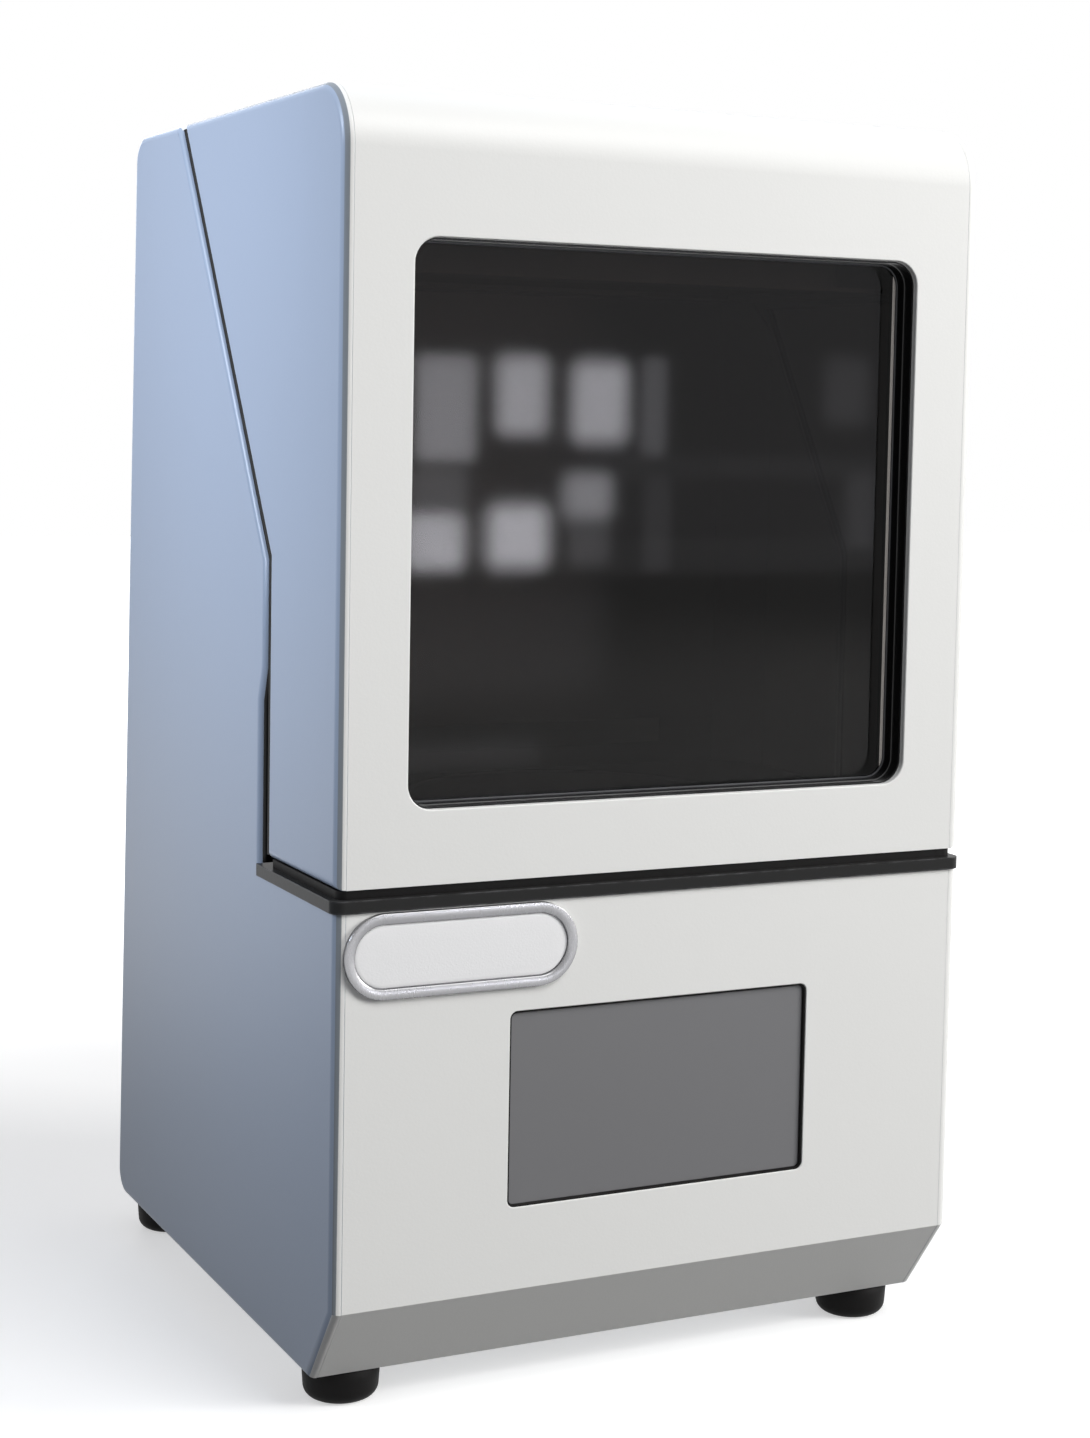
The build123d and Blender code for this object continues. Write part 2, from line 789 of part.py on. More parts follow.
board_top = Plane(origin=(0, board_y, board_z + board_thickness))
with BuildPart() as board_parts:
    with BuildSketch(board_top):
        with Locations((-part_offset_x, 0)):
            Rectangle(driver_size, driver_size)
    extrude(amount=driver_height)
    with BuildSketch(board_top):
        with Locations((part_offset_x, -part_offset_y)):
            with GridLocations(capacitor_pitch, 0, 2, 1):
                RegularPolygon(capacitor_radius, 8)
        with Locations((part_offset_x, part_offset_y), (-part_offset_x, part_offset_y)):
            Rectangle(terminal_length, terminal_width)
    extrude(amount=terminal_height)
keep("board_parts", board_parts.part)

supply_top = Plane(origin=(0, supply_y, pan_top_z + supply_height))
with BuildPart() as power_supply:
    with BuildSketch(supply_top):
        Rectangle(supply_length, supply_depth)
    extrude(amount=-supply_height)
    with BuildSketch(supply_top):
        with GridLocations(0, slot_pitch, 1, slot_count - 1):
            Rectangle(slot_length, slot_width)
    extrude(amount=-supply_groove, mode=Mode.SUBTRACT)
    with BuildSketch(supply_top):
        with Locations((0, (supply_depth - terminal_width) / 2)):
            Rectangle(supply_length, terminal_width)
    extrude(amount=-terminal_height, mode=Mode.SUBTRACT)
keep("power_supply", power_supply.part)

reed_y = wall_y + fascia_flange + slip_fit + reed_width / 2
with BuildPart() as reed_sensor:
    with BuildSketch(Plane.XY.offset(rim_z)):
        with Locations((0, reed_y)):
            Rectangle(reed_length, reed_width)
    extrude(amount=-reed_height)
    chamfer(reed_sensor.edges().filter_by(Axis.Z), chip_height)
keep("reed_sensor", reed_sensor.part)

# ---- Turntable and its motor ------------------------------------------------------------
motor_z = recess_z - plateau_wall
hub_z = recess_z + hub_float
plate_z = hub_z + hub_thickness
with BuildPart() as turntable_motor:
    with BuildSketch(Plane.XY.offset(motor_z)) as motor_top:
        with Locations((0, turntable_y)):
            Rectangle(motor_side, motor_side)
        chamfer(motor_top.vertices(), motor_corner)
    extrude(amount=-motor_height)
    with Locations((0, turntable_y, motor_z)):
        Hole(turntable_shaft_radius + pin_clearance, motor_bore_depth)
keep("turntable_motor", turntable_motor.part)


# Round section with one flat, for the shaft's driving end and the hub's bore
def drive_section(radius):
    Circle(radius)
    with Locations((0, 2 * radius - radius / 3)):
        Rectangle(2 * radius, 2 * radius, mode=Mode.SUBTRACT)


with BuildPart() as turntable_shaft:
    shaft_z = motor_z - motor_bore_depth + seal_gap
    with BuildSketch(Plane.XY.offset(shaft_z)):
        with Locations((0, turntable_y)):
            Circle(turntable_shaft_radius)
    extrude(amount=recess_z - shaft_z)
    with BuildSketch(Plane(origin=(0, turntable_y, recess_z))):
        drive_section(turntable_shaft_radius)
    extrude(amount=plate_z - recess_z)
keep("turntable_shaft", turntable_shaft.part)

with BuildPart() as turntable_hub:
    with BuildSketch(Plane(origin=(0, turntable_y, hub_z))):
        Circle(hub_boss_radius)
        with PolarLocations(hub_arm_reach / 2, 3, start_angle=90):
            Rectangle(hub_arm_reach, hub_arm_width)
    extrude(amount=hub_thickness)
    with BuildSketch(Plane(origin=(0, turntable_y, hub_z))):
        drive_section(turntable_shaft_radius + pin_clearance)
    extrude(amount=hub_thickness, mode=Mode.SUBTRACT)
keep("turntable_hub", turntable_hub.part)

with BuildPart() as turntable_plate:
    with BuildSketch(Plane(origin=(0, turntable_y, plate_z))):
        Circle(turntable_radius)
    extrude(amount=turntable_thickness)
keep("turntable_plate", turntable_plate.part)

# ---- Cooling fan ---------------------------------------------------------------------------
strut_plane = fan_plane.offset(-fan_strut)
with BuildPart() as fan_frame:
    with BuildSketch(fan_plane):
        Rectangle(fan_size, fan_size)
        Circle(fan_bore_radius, mode=Mode.SUBTRACT)
    extrude(amount=-fan_depth)
    with BuildSketch(fan_plane):
        Circle(fan_hub_radius)
        with PolarLocations((fan_hub_radius + fan_bore_radius) / 2, 4, start_angle=45):
            Rectangle(fan_bore_radius - fan_hub_radius + fan_strut, fan_strut)
    extrude(amount=-fan_strut)
    with BuildSketch(strut_plane):
        Circle(fan_shaft_radius)
    extrude(amount=2 * fan_strut - fan_depth)
keep("fan_frame", fan_frame.part)

blade_root = fan_hub_radius - blade_thickness
blade_lean = blade_chord / 2 * math.cos(blade_pitch)
blade_tip = math.sqrt((fan_bore_radius - blade_gap) ** 2 - (blade_lean + blade_thickness) ** 2)
blade_rise = blade_chord / 2 * math.sin(blade_pitch)
with BuildPart() as fan_rotor:
    with BuildSketch(strut_plane.offset(-blade_gap)):
        Circle(fan_hub_radius)
    extrude(amount=fan_strut + blade_gap - fan_depth + slip_fit)
    with BuildSketch(strut_plane.offset(-blade_gap)):
        Circle(fan_shaft_radius + pin_clearance)
    extrude(amount=2 * fan_strut - fan_depth + blade_gap / 2, mode=Mode.SUBTRACT)
    for blade in range(blade_count):
        turn = 2 * math.pi * blade / blade_count
        out = (math.cos(turn), math.sin(turn))
        middle = -(fan_strut + blade_gap + fan_depth) / 2
        root = (blade_root * out[0], blade_root * out[1], middle)
        foot_point = fan_plane.from_local_coords(root)
        ahead = fan_plane.from_local_coords((root[0] - out[1], root[1] + out[0], middle))
        beyond = fan_plane.from_local_coords((root[0] + out[0], root[1] + out[1], middle))
        blade_plane = Plane(
            origin=foot_point,
            x_dir=ahead - foot_point,
            z_dir=beyond - foot_point,
        )
        with BuildSketch(blade_plane):
            with BuildLine():
                ThreePointArc(
                    (-blade_lean, -blade_rise),
                    (blade_camber, -blade_camber),
                    (blade_lean, blade_rise),
                )
                offset(amount=blade_thickness, side=Side.LEFT)
            make_face()
        extrude(amount=blade_tip - blade_root)
keep("fan_rotor", fan_rotor.part)

# ---- Mains inlet and power switch ----------------------------------------------------------
pin_spots = [
    (-blade_pin_spacing / 2, -earth_pin_rise / 2),
    (blade_pin_spacing / 2, -earth_pin_rise / 2),
    (0, earth_pin_rise / 2),
]
with BuildPart() as mains_inlet:
    with BuildSketch(inlet_plane):
        Rectangle(inlet_flange_width, inlet_flange_height)
    extrude(amount=inlet_flange)
    chamfer(mains_inlet.faces().sort_by(Axis.Y)[-1].edges(), inlet_edge)
    with BuildSketch(inlet_plane):
        Rectangle(inlet_body_width, inlet_body_height)
    extrude(amount=-inlet_body_depth)
    with BuildSketch(inlet_plane.offset(inlet_flange)) as socket:
        Rectangle(socket_width, socket_height)
        chamfer(socket.vertices().group_by(Axis.Y)[-1], socket_chamfer)
    extrude(amount=-socket_depth - inlet_flange, mode=Mode.SUBTRACT)
    with BuildSketch(inlet_plane):
        with Locations(*pin_spots):
            Rectangle(blade_pin_width, blade_pin_height)
    extrude(amount=-inlet_body_depth, mode=Mode.SUBTRACT)
keep("mains_inlet", mains_inlet.part)

with BuildPart() as inlet_pins:
    with BuildSketch(inlet_plane.offset(-inlet_body_depth - pin_tail)):
        with Locations(*pin_spots):
            Rectangle(blade_pin_width, blade_pin_height)
    extrude(amount=inlet_body_depth + pin_tail + inlet_flange - pin_tip_recess)
keep("inlet_pins", inlet_pins.part)

pivot_plane = Plane(
    origin=rocker_plane.from_local_coords((0, 0, -rocker_pivot_depth)),
    x_dir=rocker_plane.y_dir,
    z_dir=rocker_plane.x_dir,
)
with BuildPart() as rocker_housing:
    with BuildSketch(rocker_plane):
        Rectangle(rocker_flange_width, rocker_flange_height)
    extrude(amount=rocker_flange)
    with BuildSketch(rocker_plane):
        Rectangle(rocker_body_width, rocker_body_height)
    extrude(amount=-rocker_body_depth)
    with BuildSketch(rocker_plane.offset(rocker_flange)):
        Rectangle(rocker_well_width, rocker_well_height)
    extrude(amount=-rocker_well_depth - rocker_flange, mode=Mode.SUBTRACT)
    with BuildSketch(pivot_plane):
        Circle(rocker_pivot_radius + pin_clearance)
    trunnion_reach = rocker_well_width / 2 + rocker_pivot_reach
    extrude(amount=trunnion_reach + slip_fit, both=True, mode=Mode.SUBTRACT)
keep("rocker_housing", rocker_housing.part)

with BuildPart() as power_rocker:
    heel = rocker_half_height / 2
    keel = rocker_pivot_depth + rocker_float - rocker_well_depth
    with BuildSketch(Plane(pivot_plane.location * Rotation(0, 0, rocker_tilt))):
        with BuildLine():
            Polyline(
                (-rocker_half_height, rocker_pivot_depth + rocker_crest),
                (0, rocker_pivot_depth + rocker_valley),
                (rocker_half_height, rocker_pivot_depth + rocker_crest),
                (rocker_half_height, 0),
                (heel, keel),
                (-heel, keel),
                (-rocker_half_height, 0),
                close=True,
            )
        make_face()
    extrude(amount=rocker_well_width / 2 - rocker_fit, both=True)
    with BuildSketch(pivot_plane):
        Circle(rocker_pivot_radius)
    extrude(amount=trunnion_reach, both=True)
keep("power_rocker", power_rocker.part)

# ---- Hood: shell and cheeks --------------------------------------------------------------
hood_edge = -half_gap
cheek_flange_y = wall_y + hood_flange + pan_fit
tray_z = ceiling_z
window_height = top_z - window_drop - hood_z - window_sill
window_z = hood_z + window_sill + window_height / 2
window_plane = Plane(origin=(0, front_y, window_z), x_dir=(1, 0, 0), z_dir=(0, -1, 0))
with BuildPart() as hood_shell:
    with BuildSketch(Plane.YZ) as hood_section:
        with BuildLine():
            Polyline(
                (wall_y + hood_flange, hood_z),
                (front_y, hood_z),
                (front_y, top_z),
                split_at(top_z, hood_edge),
                split_at(roof_z, hood_edge),
                (wall_y, roof_z),
                (wall_y, hood_z + cover_wall),
                (wall_y + hood_flange, hood_z + cover_wall),
                close=True,
            )
        make_face()
        roll_outside = hood_section.vertices().sort_by_distance((front_y, top_z))[0]
        fillet(roll_outside, top_roll_radius)
        roll_inside = hood_section.vertices().sort_by_distance((wall_y, roof_z))[0]
        fillet(roll_inside, top_roll_radius - cover_wall)
    extrude(amount=inner_half, both=True)
    with BuildSketch(Plane.YZ):
        with BuildLine():
            Polyline(
                split_at(roof_z, hood_edge),
                split_point(lip_length, hood_edge),
                split_point(lip_length, hood_edge - flange_wall),
                split_at(roof_z, hood_edge - flange_wall),
                close=True,
            )
        make_face()
    extrude(amount=arm_x - arm_thickness / 2 - 2 * arm_clearance, both=True)
    with BuildSketch(window_plane):
        RectangleRounded(window_width, window_height, window_corner)
    extrude(amount=-cover_wall, mode=Mode.SUBTRACT)
keep("hood_shell", hood_shell.part)

with BuildPart() as hood_cheek_left:
    with BuildSketch(Plane.YZ.offset(-housing_width / 2)) as cheek_side:
        with BuildLine():
            Polyline(
                (front_y, hood_z),
                (front_y, top_z),
                split_at(top_z, hood_edge),
                split_knee(hood_edge),
                (split_y + hood_edge, hood_z),
                close=True,
            )
        make_face()
        roll = cheek_side.vertices().sort_by_distance((front_y, top_z))[0]
        fillet(roll, top_roll_radius)
    extrude(amount=side_plate)
    fillet(hood_cheek_left.faces().sort_by(Axis.X)[0].edges(), side_edge_radius)
    with BuildSketch(Plane.YZ.offset(-inner_half)):
        with BuildLine():
            Polyline(
                (cheek_flange_y, hood_z),
                (split_y + hood_edge, hood_z),
                split_knee(hood_edge),
                split_point(hood_flange, hood_edge),
            )
            offset(amount=flange_wall, side=Side.LEFT)
        make_face()
    extrude(amount=flange_depth)
    with BuildSketch(Plane.YZ.offset(-inner_half)):
        with Locations((light_y, tray_z - tray_rib / 2)):
            Rectangle(tray_length - flange_wall, tray_rib)
    extrude(amount=tray_rib_reach)
    with BuildSketch(Plane.YZ.offset(-inner_half)):
        with Locations((cheek_flange_y + liner_fit, (hood_z + tray_z) / 2)):
            Rectangle(tray_rib, (tray_z - hood_z) / 2)
        with Locations((split_y + hood_edge - liner_fit, (hood_z + tray_z) / 2)):
            Rectangle(tray_rib, (tray_z - hood_z) / 2)
    extrude(amount=flange_depth)
keep("hood_cheek_left", hood_cheek_left.part)

with BuildPart() as hood_cheek_right:
    mirror(hood_cheek_left.part, about=Plane.YZ)
keep("hood_cheek_right", hood_cheek_right.part)

with BuildPart() as cheek_liner_left:
    liner_top = tray_z - tray_rib - pan_fit
    liner_edge = hood_edge - liner_fit / 2
    with BuildSketch(Plane.YZ.offset(-chamber_half)):
        with BuildLine():
            Polyline(
                (retainer_y + liner_fit / 2, hood_z + cover_wall),
                (retainer_y + liner_fit / 2, liner_top),
                split_at(liner_top, liner_edge),
                split_knee(liner_edge),
                (split_y + liner_edge, hood_z + cover_wall),
                close=True,
            )
        make_face()
    extrude(amount=reflector_sheet)
keep("cheek_liner_left", cheek_liner_left.part)

with BuildPart() as cheek_liner_right:
    mirror(cheek_liner_left.part, about=Plane.YZ)
keep("cheek_liner_right", cheek_liner_right.part)

# ---- Window: bezel, gasket, pane and retainer -----------------------------------------------
lip_inset = bezel_fit + bezel_lip
step_inset = lip_inset + bezel_step
seat_plane = window_plane.offset(-bezel_depth)
retainer_plane = seat_plane.offset(-gasket_thickness - pane_thickness)


# Window outline made narrower all round by inset; its corners stay concentric
def window_outline(inset, mode=Mode.ADD):
    RectangleRounded(
        window_width - 2 * inset,
        window_height - 2 * inset,
        window_corner - inset,
        mode=mode,
    )


def window_frame(outset, mode=Mode.ADD):
    Rectangle(window_width + 2 * outset, window_height + 2 * outset, mode=mode)


with BuildPart() as window_bezel:
    with BuildSketch(window_plane.offset(-bezel_recess)):
        window_outline(bezel_fit)
    extrude(amount=bezel_recess - cover_wall)
    with BuildSketch(window_plane.offset(-cover_wall)):
        window_frame(bezel_border)
    extrude(amount=cover_wall - bezel_depth - gasket_thickness - pane_thickness)
    with BuildSketch(window_plane.offset(-bezel_recess)):
        window_outline(lip_inset)
    extrude(amount=bezel_recess - bezel_lip_depth, mode=Mode.SUBTRACT)
    with BuildSketch(window_plane.offset(-bezel_lip_depth)):
        window_outline(step_inset)
    extrude(amount=bezel_lip_depth - bezel_depth, mode=Mode.SUBTRACT)
    with BuildSketch(seat_plane):
        window_frame(pane_overlap + pane_fit - step_inset)
    extrude(amount=-gasket_thickness - pane_thickness, mode=Mode.SUBTRACT)
keep("window_bezel", window_bezel.part)

with BuildPart() as window_gasket:
    with BuildSketch(seat_plane):
        window_frame(pane_overlap - step_inset)
        window_outline(step_inset + gasket_show, mode=Mode.SUBTRACT)
    extrude(amount=-gasket_thickness)
keep("window_gasket", window_gasket.part)

with BuildPart() as window_pane:
    with BuildSketch(seat_plane.offset(-gasket_thickness)):
        window_frame(pane_overlap - step_inset)
    extrude(amount=-pane_thickness)
keep("window_pane", window_pane.part)

with BuildPart() as pane_retainer:
    with BuildSketch(retainer_plane):
        window_frame(bezel_border)
        window_frame(-step_inset, mode=Mode.SUBTRACT)
    extrude(amount=-retainer_thickness)
keep("pane_retainer", pane_retainer.part)

# ---- Light head: tray, diffuser, LEDs and heatsink ------------------------------------------
light_plane = Plane(origin=(0, light_y, tray_z))
chimney_top = light_plane.offset(chimney_height)
chimney_length = light_length + 2 * (diffuser_ledge + chimney_wall)
chimney_depth = light_depth + 2 * (diffuser_ledge + chimney_wall)
with BuildPart() as head_tray:
    with BuildSketch(light_plane):
        Rectangle(2 * (inner_half - pan_fit), tray_length)
    extrude(amount=tray_sheet)
    with BuildSketch(light_plane):
        Rectangle(chimney_length, chimney_depth)
    extrude(amount=chimney_height)
    with BuildSketch(chimney_top):
        Rectangle(chimney_length - 2 * chimney_wall, chimney_depth - 2 * chimney_wall)
    extrude(amount=tray_sheet - chimney_height, mode=Mode.SUBTRACT)
    with BuildSketch(light_plane):
        Rectangle(light_length - 2 * diffuser_ledge, light_depth - 2 * diffuser_ledge)
    extrude(amount=tray_sheet, mode=Mode.SUBTRACT)
keep("head_tray", head_tray.part)

with BuildPart() as light_diffuser:
    with BuildSketch(light_plane.offset(tray_sheet)):
        Rectangle(
            light_length + 2 * (diffuser_ledge - pane_fit),
            light_depth + 2 * (diffuser_ledge - pane_fit),
        )
    extrude(amount=diffuser_thickness)
keep("light_diffuser", light_diffuser.part)

with BuildPart() as head_led_board:
    with BuildSketch(chimney_top):
        Rectangle(light_length - 2 * chimney_wall, light_depth - 2 * chimney_wall)
    extrude(amount=-board_thickness)
keep("head_led_board", head_led_board.part)

with BuildPart() as head_led_chips:
    with BuildSketch(chimney_top.offset(-board_thickness)):
        with GridLocations(chip_pitch_x, chip_pitch_y, chip_columns, chip_rows):
            Rectangle(chip_size, chip_size)
    extrude(amount=-chip_height)
keep("head_led_chips", head_led_chips.part)

fin_pitch = (chimney_depth - fin_thickness - 2 * fin_edge) / (fin_count - 1)
with BuildPart() as heatsink:
    with BuildSketch(chimney_top):
        Rectangle(chimney_length, chimney_depth)
    extrude(amount=heatsink_base)
    with BuildSketch(chimney_top.offset(heatsink_base)):
        with GridLocations(0, fin_pitch, 1, fin_count):
            Rectangle(chimney_length, fin_thickness)
    extrude(amount=fin_height)
keep("heatsink", heatsink.part)

# ---- Hood arms and the interlock magnet -----------------------------------------------------
arm_radius = (arm_inner_radius + arm_outer_radius) / 2
rise = math.degrees(math.asin((roof_z - arm_foot_thickness / 2 - hinge_z) / arm_radius))
lip_angle = math.degrees(math.atan2(lip_length, hinge_offset - half_gap))
lip_radius = math.hypot(hinge_offset - half_gap, lip_length)
neck_margin = math.degrees(math.asin((arm_width / 2 + arm_clearance) / lip_radius))
neck_turn = 180 - math.degrees(split_angle) + lip_angle + neck_margin + hood_opening
with BuildPart() as hood_arm_left:
    with BuildSketch(Plane.YZ.offset(-arm_x - arm_thickness / 2)) as arm_side:
        with BuildLine():
            CenterArc((hinge_y, hinge_z), arm_radius, 180 - rise, rise + neck_turn - 180)
        trace(line_width=arm_width)
        with Locations((hinge_y, hinge_z)):
            with PolarLocations(arm_radius / 2, 1, start_angle=neck_turn):
                Rectangle(arm_radius + arm_width, arm_width)
            Circle(hub_radius)
        with Locations((hinge_y - arm_inner_radius, roof_z)):
            Rectangle(arm_foot_length, arm_foot_thickness, align=(Align.MAX, Align.MAX))
        with Locations((hinge_y, hinge_z)):
            Circle(hinge_pin_radius + pin_clearance, mode=Mode.SUBTRACT)
    extrude(amount=arm_thickness)
keep("hood_arm_left", hood_arm_left.part)

with BuildPart() as hood_arm_right:
    mirror(hood_arm_left.part, about=Plane.YZ)
keep("hood_arm_right", hood_arm_right.part)

with BuildPart() as hood_magnet:
    with BuildSketch(Plane.XY.offset(hood_z + cover_wall)):
        with Locations((0, wall_y + hood_flange - magnet_radius)):
            RegularPolygon(magnet_radius, 8)
    extrude(amount=magnet_height)
keep("hood_magnet", hood_magnet.part)

os.makedirs("parts", exist_ok=True)
for name, piece in made.items():
    export_step(piece, f"parts/{name}.step")
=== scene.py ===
import json
import bmesh
import bpy
from math import atan2, cos, pi, radians, sin
from mathutils import Matrix, Vector

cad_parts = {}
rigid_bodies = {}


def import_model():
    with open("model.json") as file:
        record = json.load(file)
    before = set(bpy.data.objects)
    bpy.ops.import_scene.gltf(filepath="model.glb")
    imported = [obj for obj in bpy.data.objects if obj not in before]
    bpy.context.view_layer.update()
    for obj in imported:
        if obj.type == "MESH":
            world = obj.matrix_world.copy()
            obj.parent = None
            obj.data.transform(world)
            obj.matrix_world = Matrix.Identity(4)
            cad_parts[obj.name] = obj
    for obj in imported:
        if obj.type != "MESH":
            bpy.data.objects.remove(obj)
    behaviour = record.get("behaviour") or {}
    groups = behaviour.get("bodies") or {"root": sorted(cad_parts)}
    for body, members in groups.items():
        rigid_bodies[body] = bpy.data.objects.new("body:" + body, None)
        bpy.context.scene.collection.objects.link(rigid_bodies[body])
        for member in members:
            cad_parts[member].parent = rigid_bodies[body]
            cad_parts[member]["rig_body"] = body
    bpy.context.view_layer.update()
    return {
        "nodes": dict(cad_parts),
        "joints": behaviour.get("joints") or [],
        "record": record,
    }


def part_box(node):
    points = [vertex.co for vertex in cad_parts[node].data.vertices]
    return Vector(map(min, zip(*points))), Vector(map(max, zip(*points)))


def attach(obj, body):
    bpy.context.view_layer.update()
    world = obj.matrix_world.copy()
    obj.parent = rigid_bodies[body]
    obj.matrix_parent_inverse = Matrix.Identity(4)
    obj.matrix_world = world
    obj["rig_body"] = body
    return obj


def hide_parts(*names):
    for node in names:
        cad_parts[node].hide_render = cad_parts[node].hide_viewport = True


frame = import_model()
nodes = frame["nodes"]
mm = 0.001
print("frame loaded")


# colours are written as on a paint card and turned into Blender's linear ones
def paint(code, strength=1.0):
    parts = [int(code[i:i + 2], 16) / 255 for i in (0, 2, 4)]
    linear = [c / 12.92 if c <= 0.04045 else ((c + 0.055) / 1.055) ** 2.4 for c in parts]
    return (*[c * strength for c in linear], 1.0)


viewpoint = {
    "place": (-0.38059, -0.82761, 0.31578),
    "turn": 27.012,
    "tilt": -4.693,
    "roll": 1.176,
    "lens": 63.65,
    "shiftX": -0.0522,
    "shiftY": -0.0688,
}


def placeCamera(p):
    turn, tilt, roll = (radians(p[key]) for key in ("turn", "tilt", "roll"))
    ahead = Vector((sin(turn) * cos(tilt), cos(turn) * cos(tilt), sin(tilt)))
    across = Vector((cos(turn), -sin(turn), 0))
    above = across.cross(ahead)
    right = across * cos(roll) + above * sin(roll)
    up = above * cos(roll) - across * sin(roll)
    data = bpy.data.cameras.new("studioCamera")
    data.lens = p["lens"]
    data.shift_x = p["shiftX"]
    data.shift_y = p["shiftY"]
    data.clip_start = 0.02
    data.clip_end = 60
    camera = bpy.data.objects.new("studioCamera", data)
    turned = Matrix((right, up, -ahead)).transposed().to_4x4()
    camera.matrix_world = Matrix.Translation(p["place"]) @ turned
    bpy.context.scene.collection.objects.link(camera)
    bpy.context.scene.camera = camera


placeCamera(viewpoint)
bpy.context.scene.view_settings.view_transform = "Standard"
print("camera placed")


# node helpers: a value is a plain setting, and a socket is linked
def setInputs(tree, made, values):
    for key, value in values.items():
        if isinstance(value, bpy.types.NodeSocket):
            tree.links.new(value, made.inputs[key])
        else:
            made.inputs[key].default_value = value


def addNode(tree, kind, values=None, **settings):
    made = tree.nodes.new("ShaderNode" + kind)
    for name, value in settings.items():
        setattr(made, name, value)
    setInputs(tree, made, values or {})
    return made


def doMath(tree, operation, a, b=0.0, c=0.0, clamp=False):
    made = addNode(tree, "Math", {0: a, 1: b, 2: c}, operation=operation, use_clamp=clamp)
    return made.outputs[0]


def doVector(tree, operation, values, output="Vector"):
    made = addNode(tree, "VectorMath", dict(enumerate(values)), operation=operation)
    return made.outputs[output]


def mixColour(tree, factor, a, b, blend="MIX"):
    made = addNode(tree, "Mix", {0: factor, 6: a, 7: b}, data_type="RGBA", blend_type=blend)
    return made.outputs[2]


def noise(tree, vector, scale, detail=3.0, rough=0.5):
    values = {"Vector": vector, "Scale": scale, "Detail": detail, "Roughness": rough}
    return addNode(tree, "TexNoise", values).outputs[0]


def spread(tree, value, low, high, toLow=0.0, toHigh=1.0):
    values = {0: value, 1: low, 2: high, 3: toLow, 4: toHigh}
    return addNode(tree, "MapRange", values, interpolation_type="SMOOTHSTEP").outputs[0]


def openGroup(name, ins, outs):
    group = bpy.data.node_groups.new(name, "ShaderNodeTree")
    for label, kind, value in ins:
        socket = group.interface.new_socket(name=label, in_out="INPUT", socket_type="NodeSocket" + kind)
        socket.default_value = value
    for label, kind in outs:
        group.interface.new_socket(name=label, in_out="OUTPUT", socket_type="NodeSocket" + kind)
    return group, group.nodes.new("NodeGroupInput").outputs, group.nodes.new("NodeGroupOutput").inputs


def makeSatinGrain():
    group, given, out = openGroup(
        "satinGrain",
        [("Colour", "Color", (0.5, 0.5, 0.5, 1)), ("Roughness", "Float", 0.4), ("Scale", "Float", 900.0),
         ("Tone", "Float", 0.03), ("Sheen", "Float", 0.06)],
        [("Colour", "Color"), ("Roughness", "Float"), ("Height", "Float")],
    )
    place = addNode(group, "TexCoord").outputs["Object"]
    fine = noise(group, place, given["Scale"], 2.0)
    broad = noise(group, place, 7.0, 3.0)
    shade = doMath(group, "MULTIPLY_ADD", doMath(group, "SUBTRACT", broad, 0.5), given["Tone"], 1.0)
    group.links.new(mixColour(group, 1.0, given["Colour"], shade, "MULTIPLY"), out["Colour"])
    streak = doMath(group, "ADD", doMath(group, "MULTIPLY", fine, 0.5), broad)
    uneven = doMath(group, "MULTIPLY", doMath(group, "SUBTRACT", streak, 0.75), given["Sheen"])
    group.links.new(doMath(group, "ADD", given["Roughness"], uneven, clamp=True), out["Roughness"])
    group.links.new(fine, out["Height"])
    return group


# lighter edges found with the Bevel node: part wear, part painted highlight
def makeEdgeWearAndHighlight():
    group, given, out = openGroup(
        "edgeWearAndHighlight",
        [("Colour", "Color", (0.5, 0.5, 0.5, 1)), ("WornHighlight", "Color", (0.6, 0.6, 0.6, 1)),
         ("Reach", "Float", 0.001), ("Amount", "Float", 0.3)],
        [("Colour", "Color"), ("Mask", "Float")],
    )
    rounded = addNode(group, "Bevel", {"Radius": given["Reach"]}, samples=4).outputs[0]
    flat = addNode(group, "NewGeometry").outputs["Normal"]
    facing = doVector(group, "DOT_PRODUCT", [rounded, flat], "Value")
    turned = spread(group, facing, 0.995, 0.80)
    place = addNode(group, "TexCoord").outputs["Object"]
    patchy = spread(group, noise(group, place, 160.0, 4.0, 0.6), 0.35, 0.65)
    mask = doMath(group, "MULTIPLY", doMath(group, "MULTIPLY", turned, patchy), given["Amount"], clamp=True)
    group.links.new(mixColour(group, mask, given["Colour"], given["WornHighlight"]), out["Colour"])
    group.links.new(mask, out["Mask"])
    return group


def makeDustFilm():
    group, given, out = openGroup(
        "dustFilm",
        [("Colour", "Color", (0.5, 0.5, 0.5, 1)), ("Dust", "Color", (0.6, 0.58, 0.55, 1)),
         ("Amount", "Float", 0.1)],
        [("Colour", "Color"), ("Mask", "Float")],
    )
    upward = addNode(group, "SeparateXYZ", {0: addNode(group, "NewGeometry").outputs["Normal"]}).outputs["Z"]
    place = addNode(group, "TexCoord").outputs["Object"]
    patchy = spread(group, noise(group, place, 40.0, 5.0, 0.6), 0.3, 0.75)
    settled = doMath(group, "MULTIPLY", spread(group, upward, 0.55, 1.0), patchy)
    mask = doMath(group, "MULTIPLY", settled, given["Amount"])
    group.links.new(mixColour(group, mask, given["Colour"], given["Dust"]), out["Colour"])
    group.links.new(mask, out["Mask"])
    return group


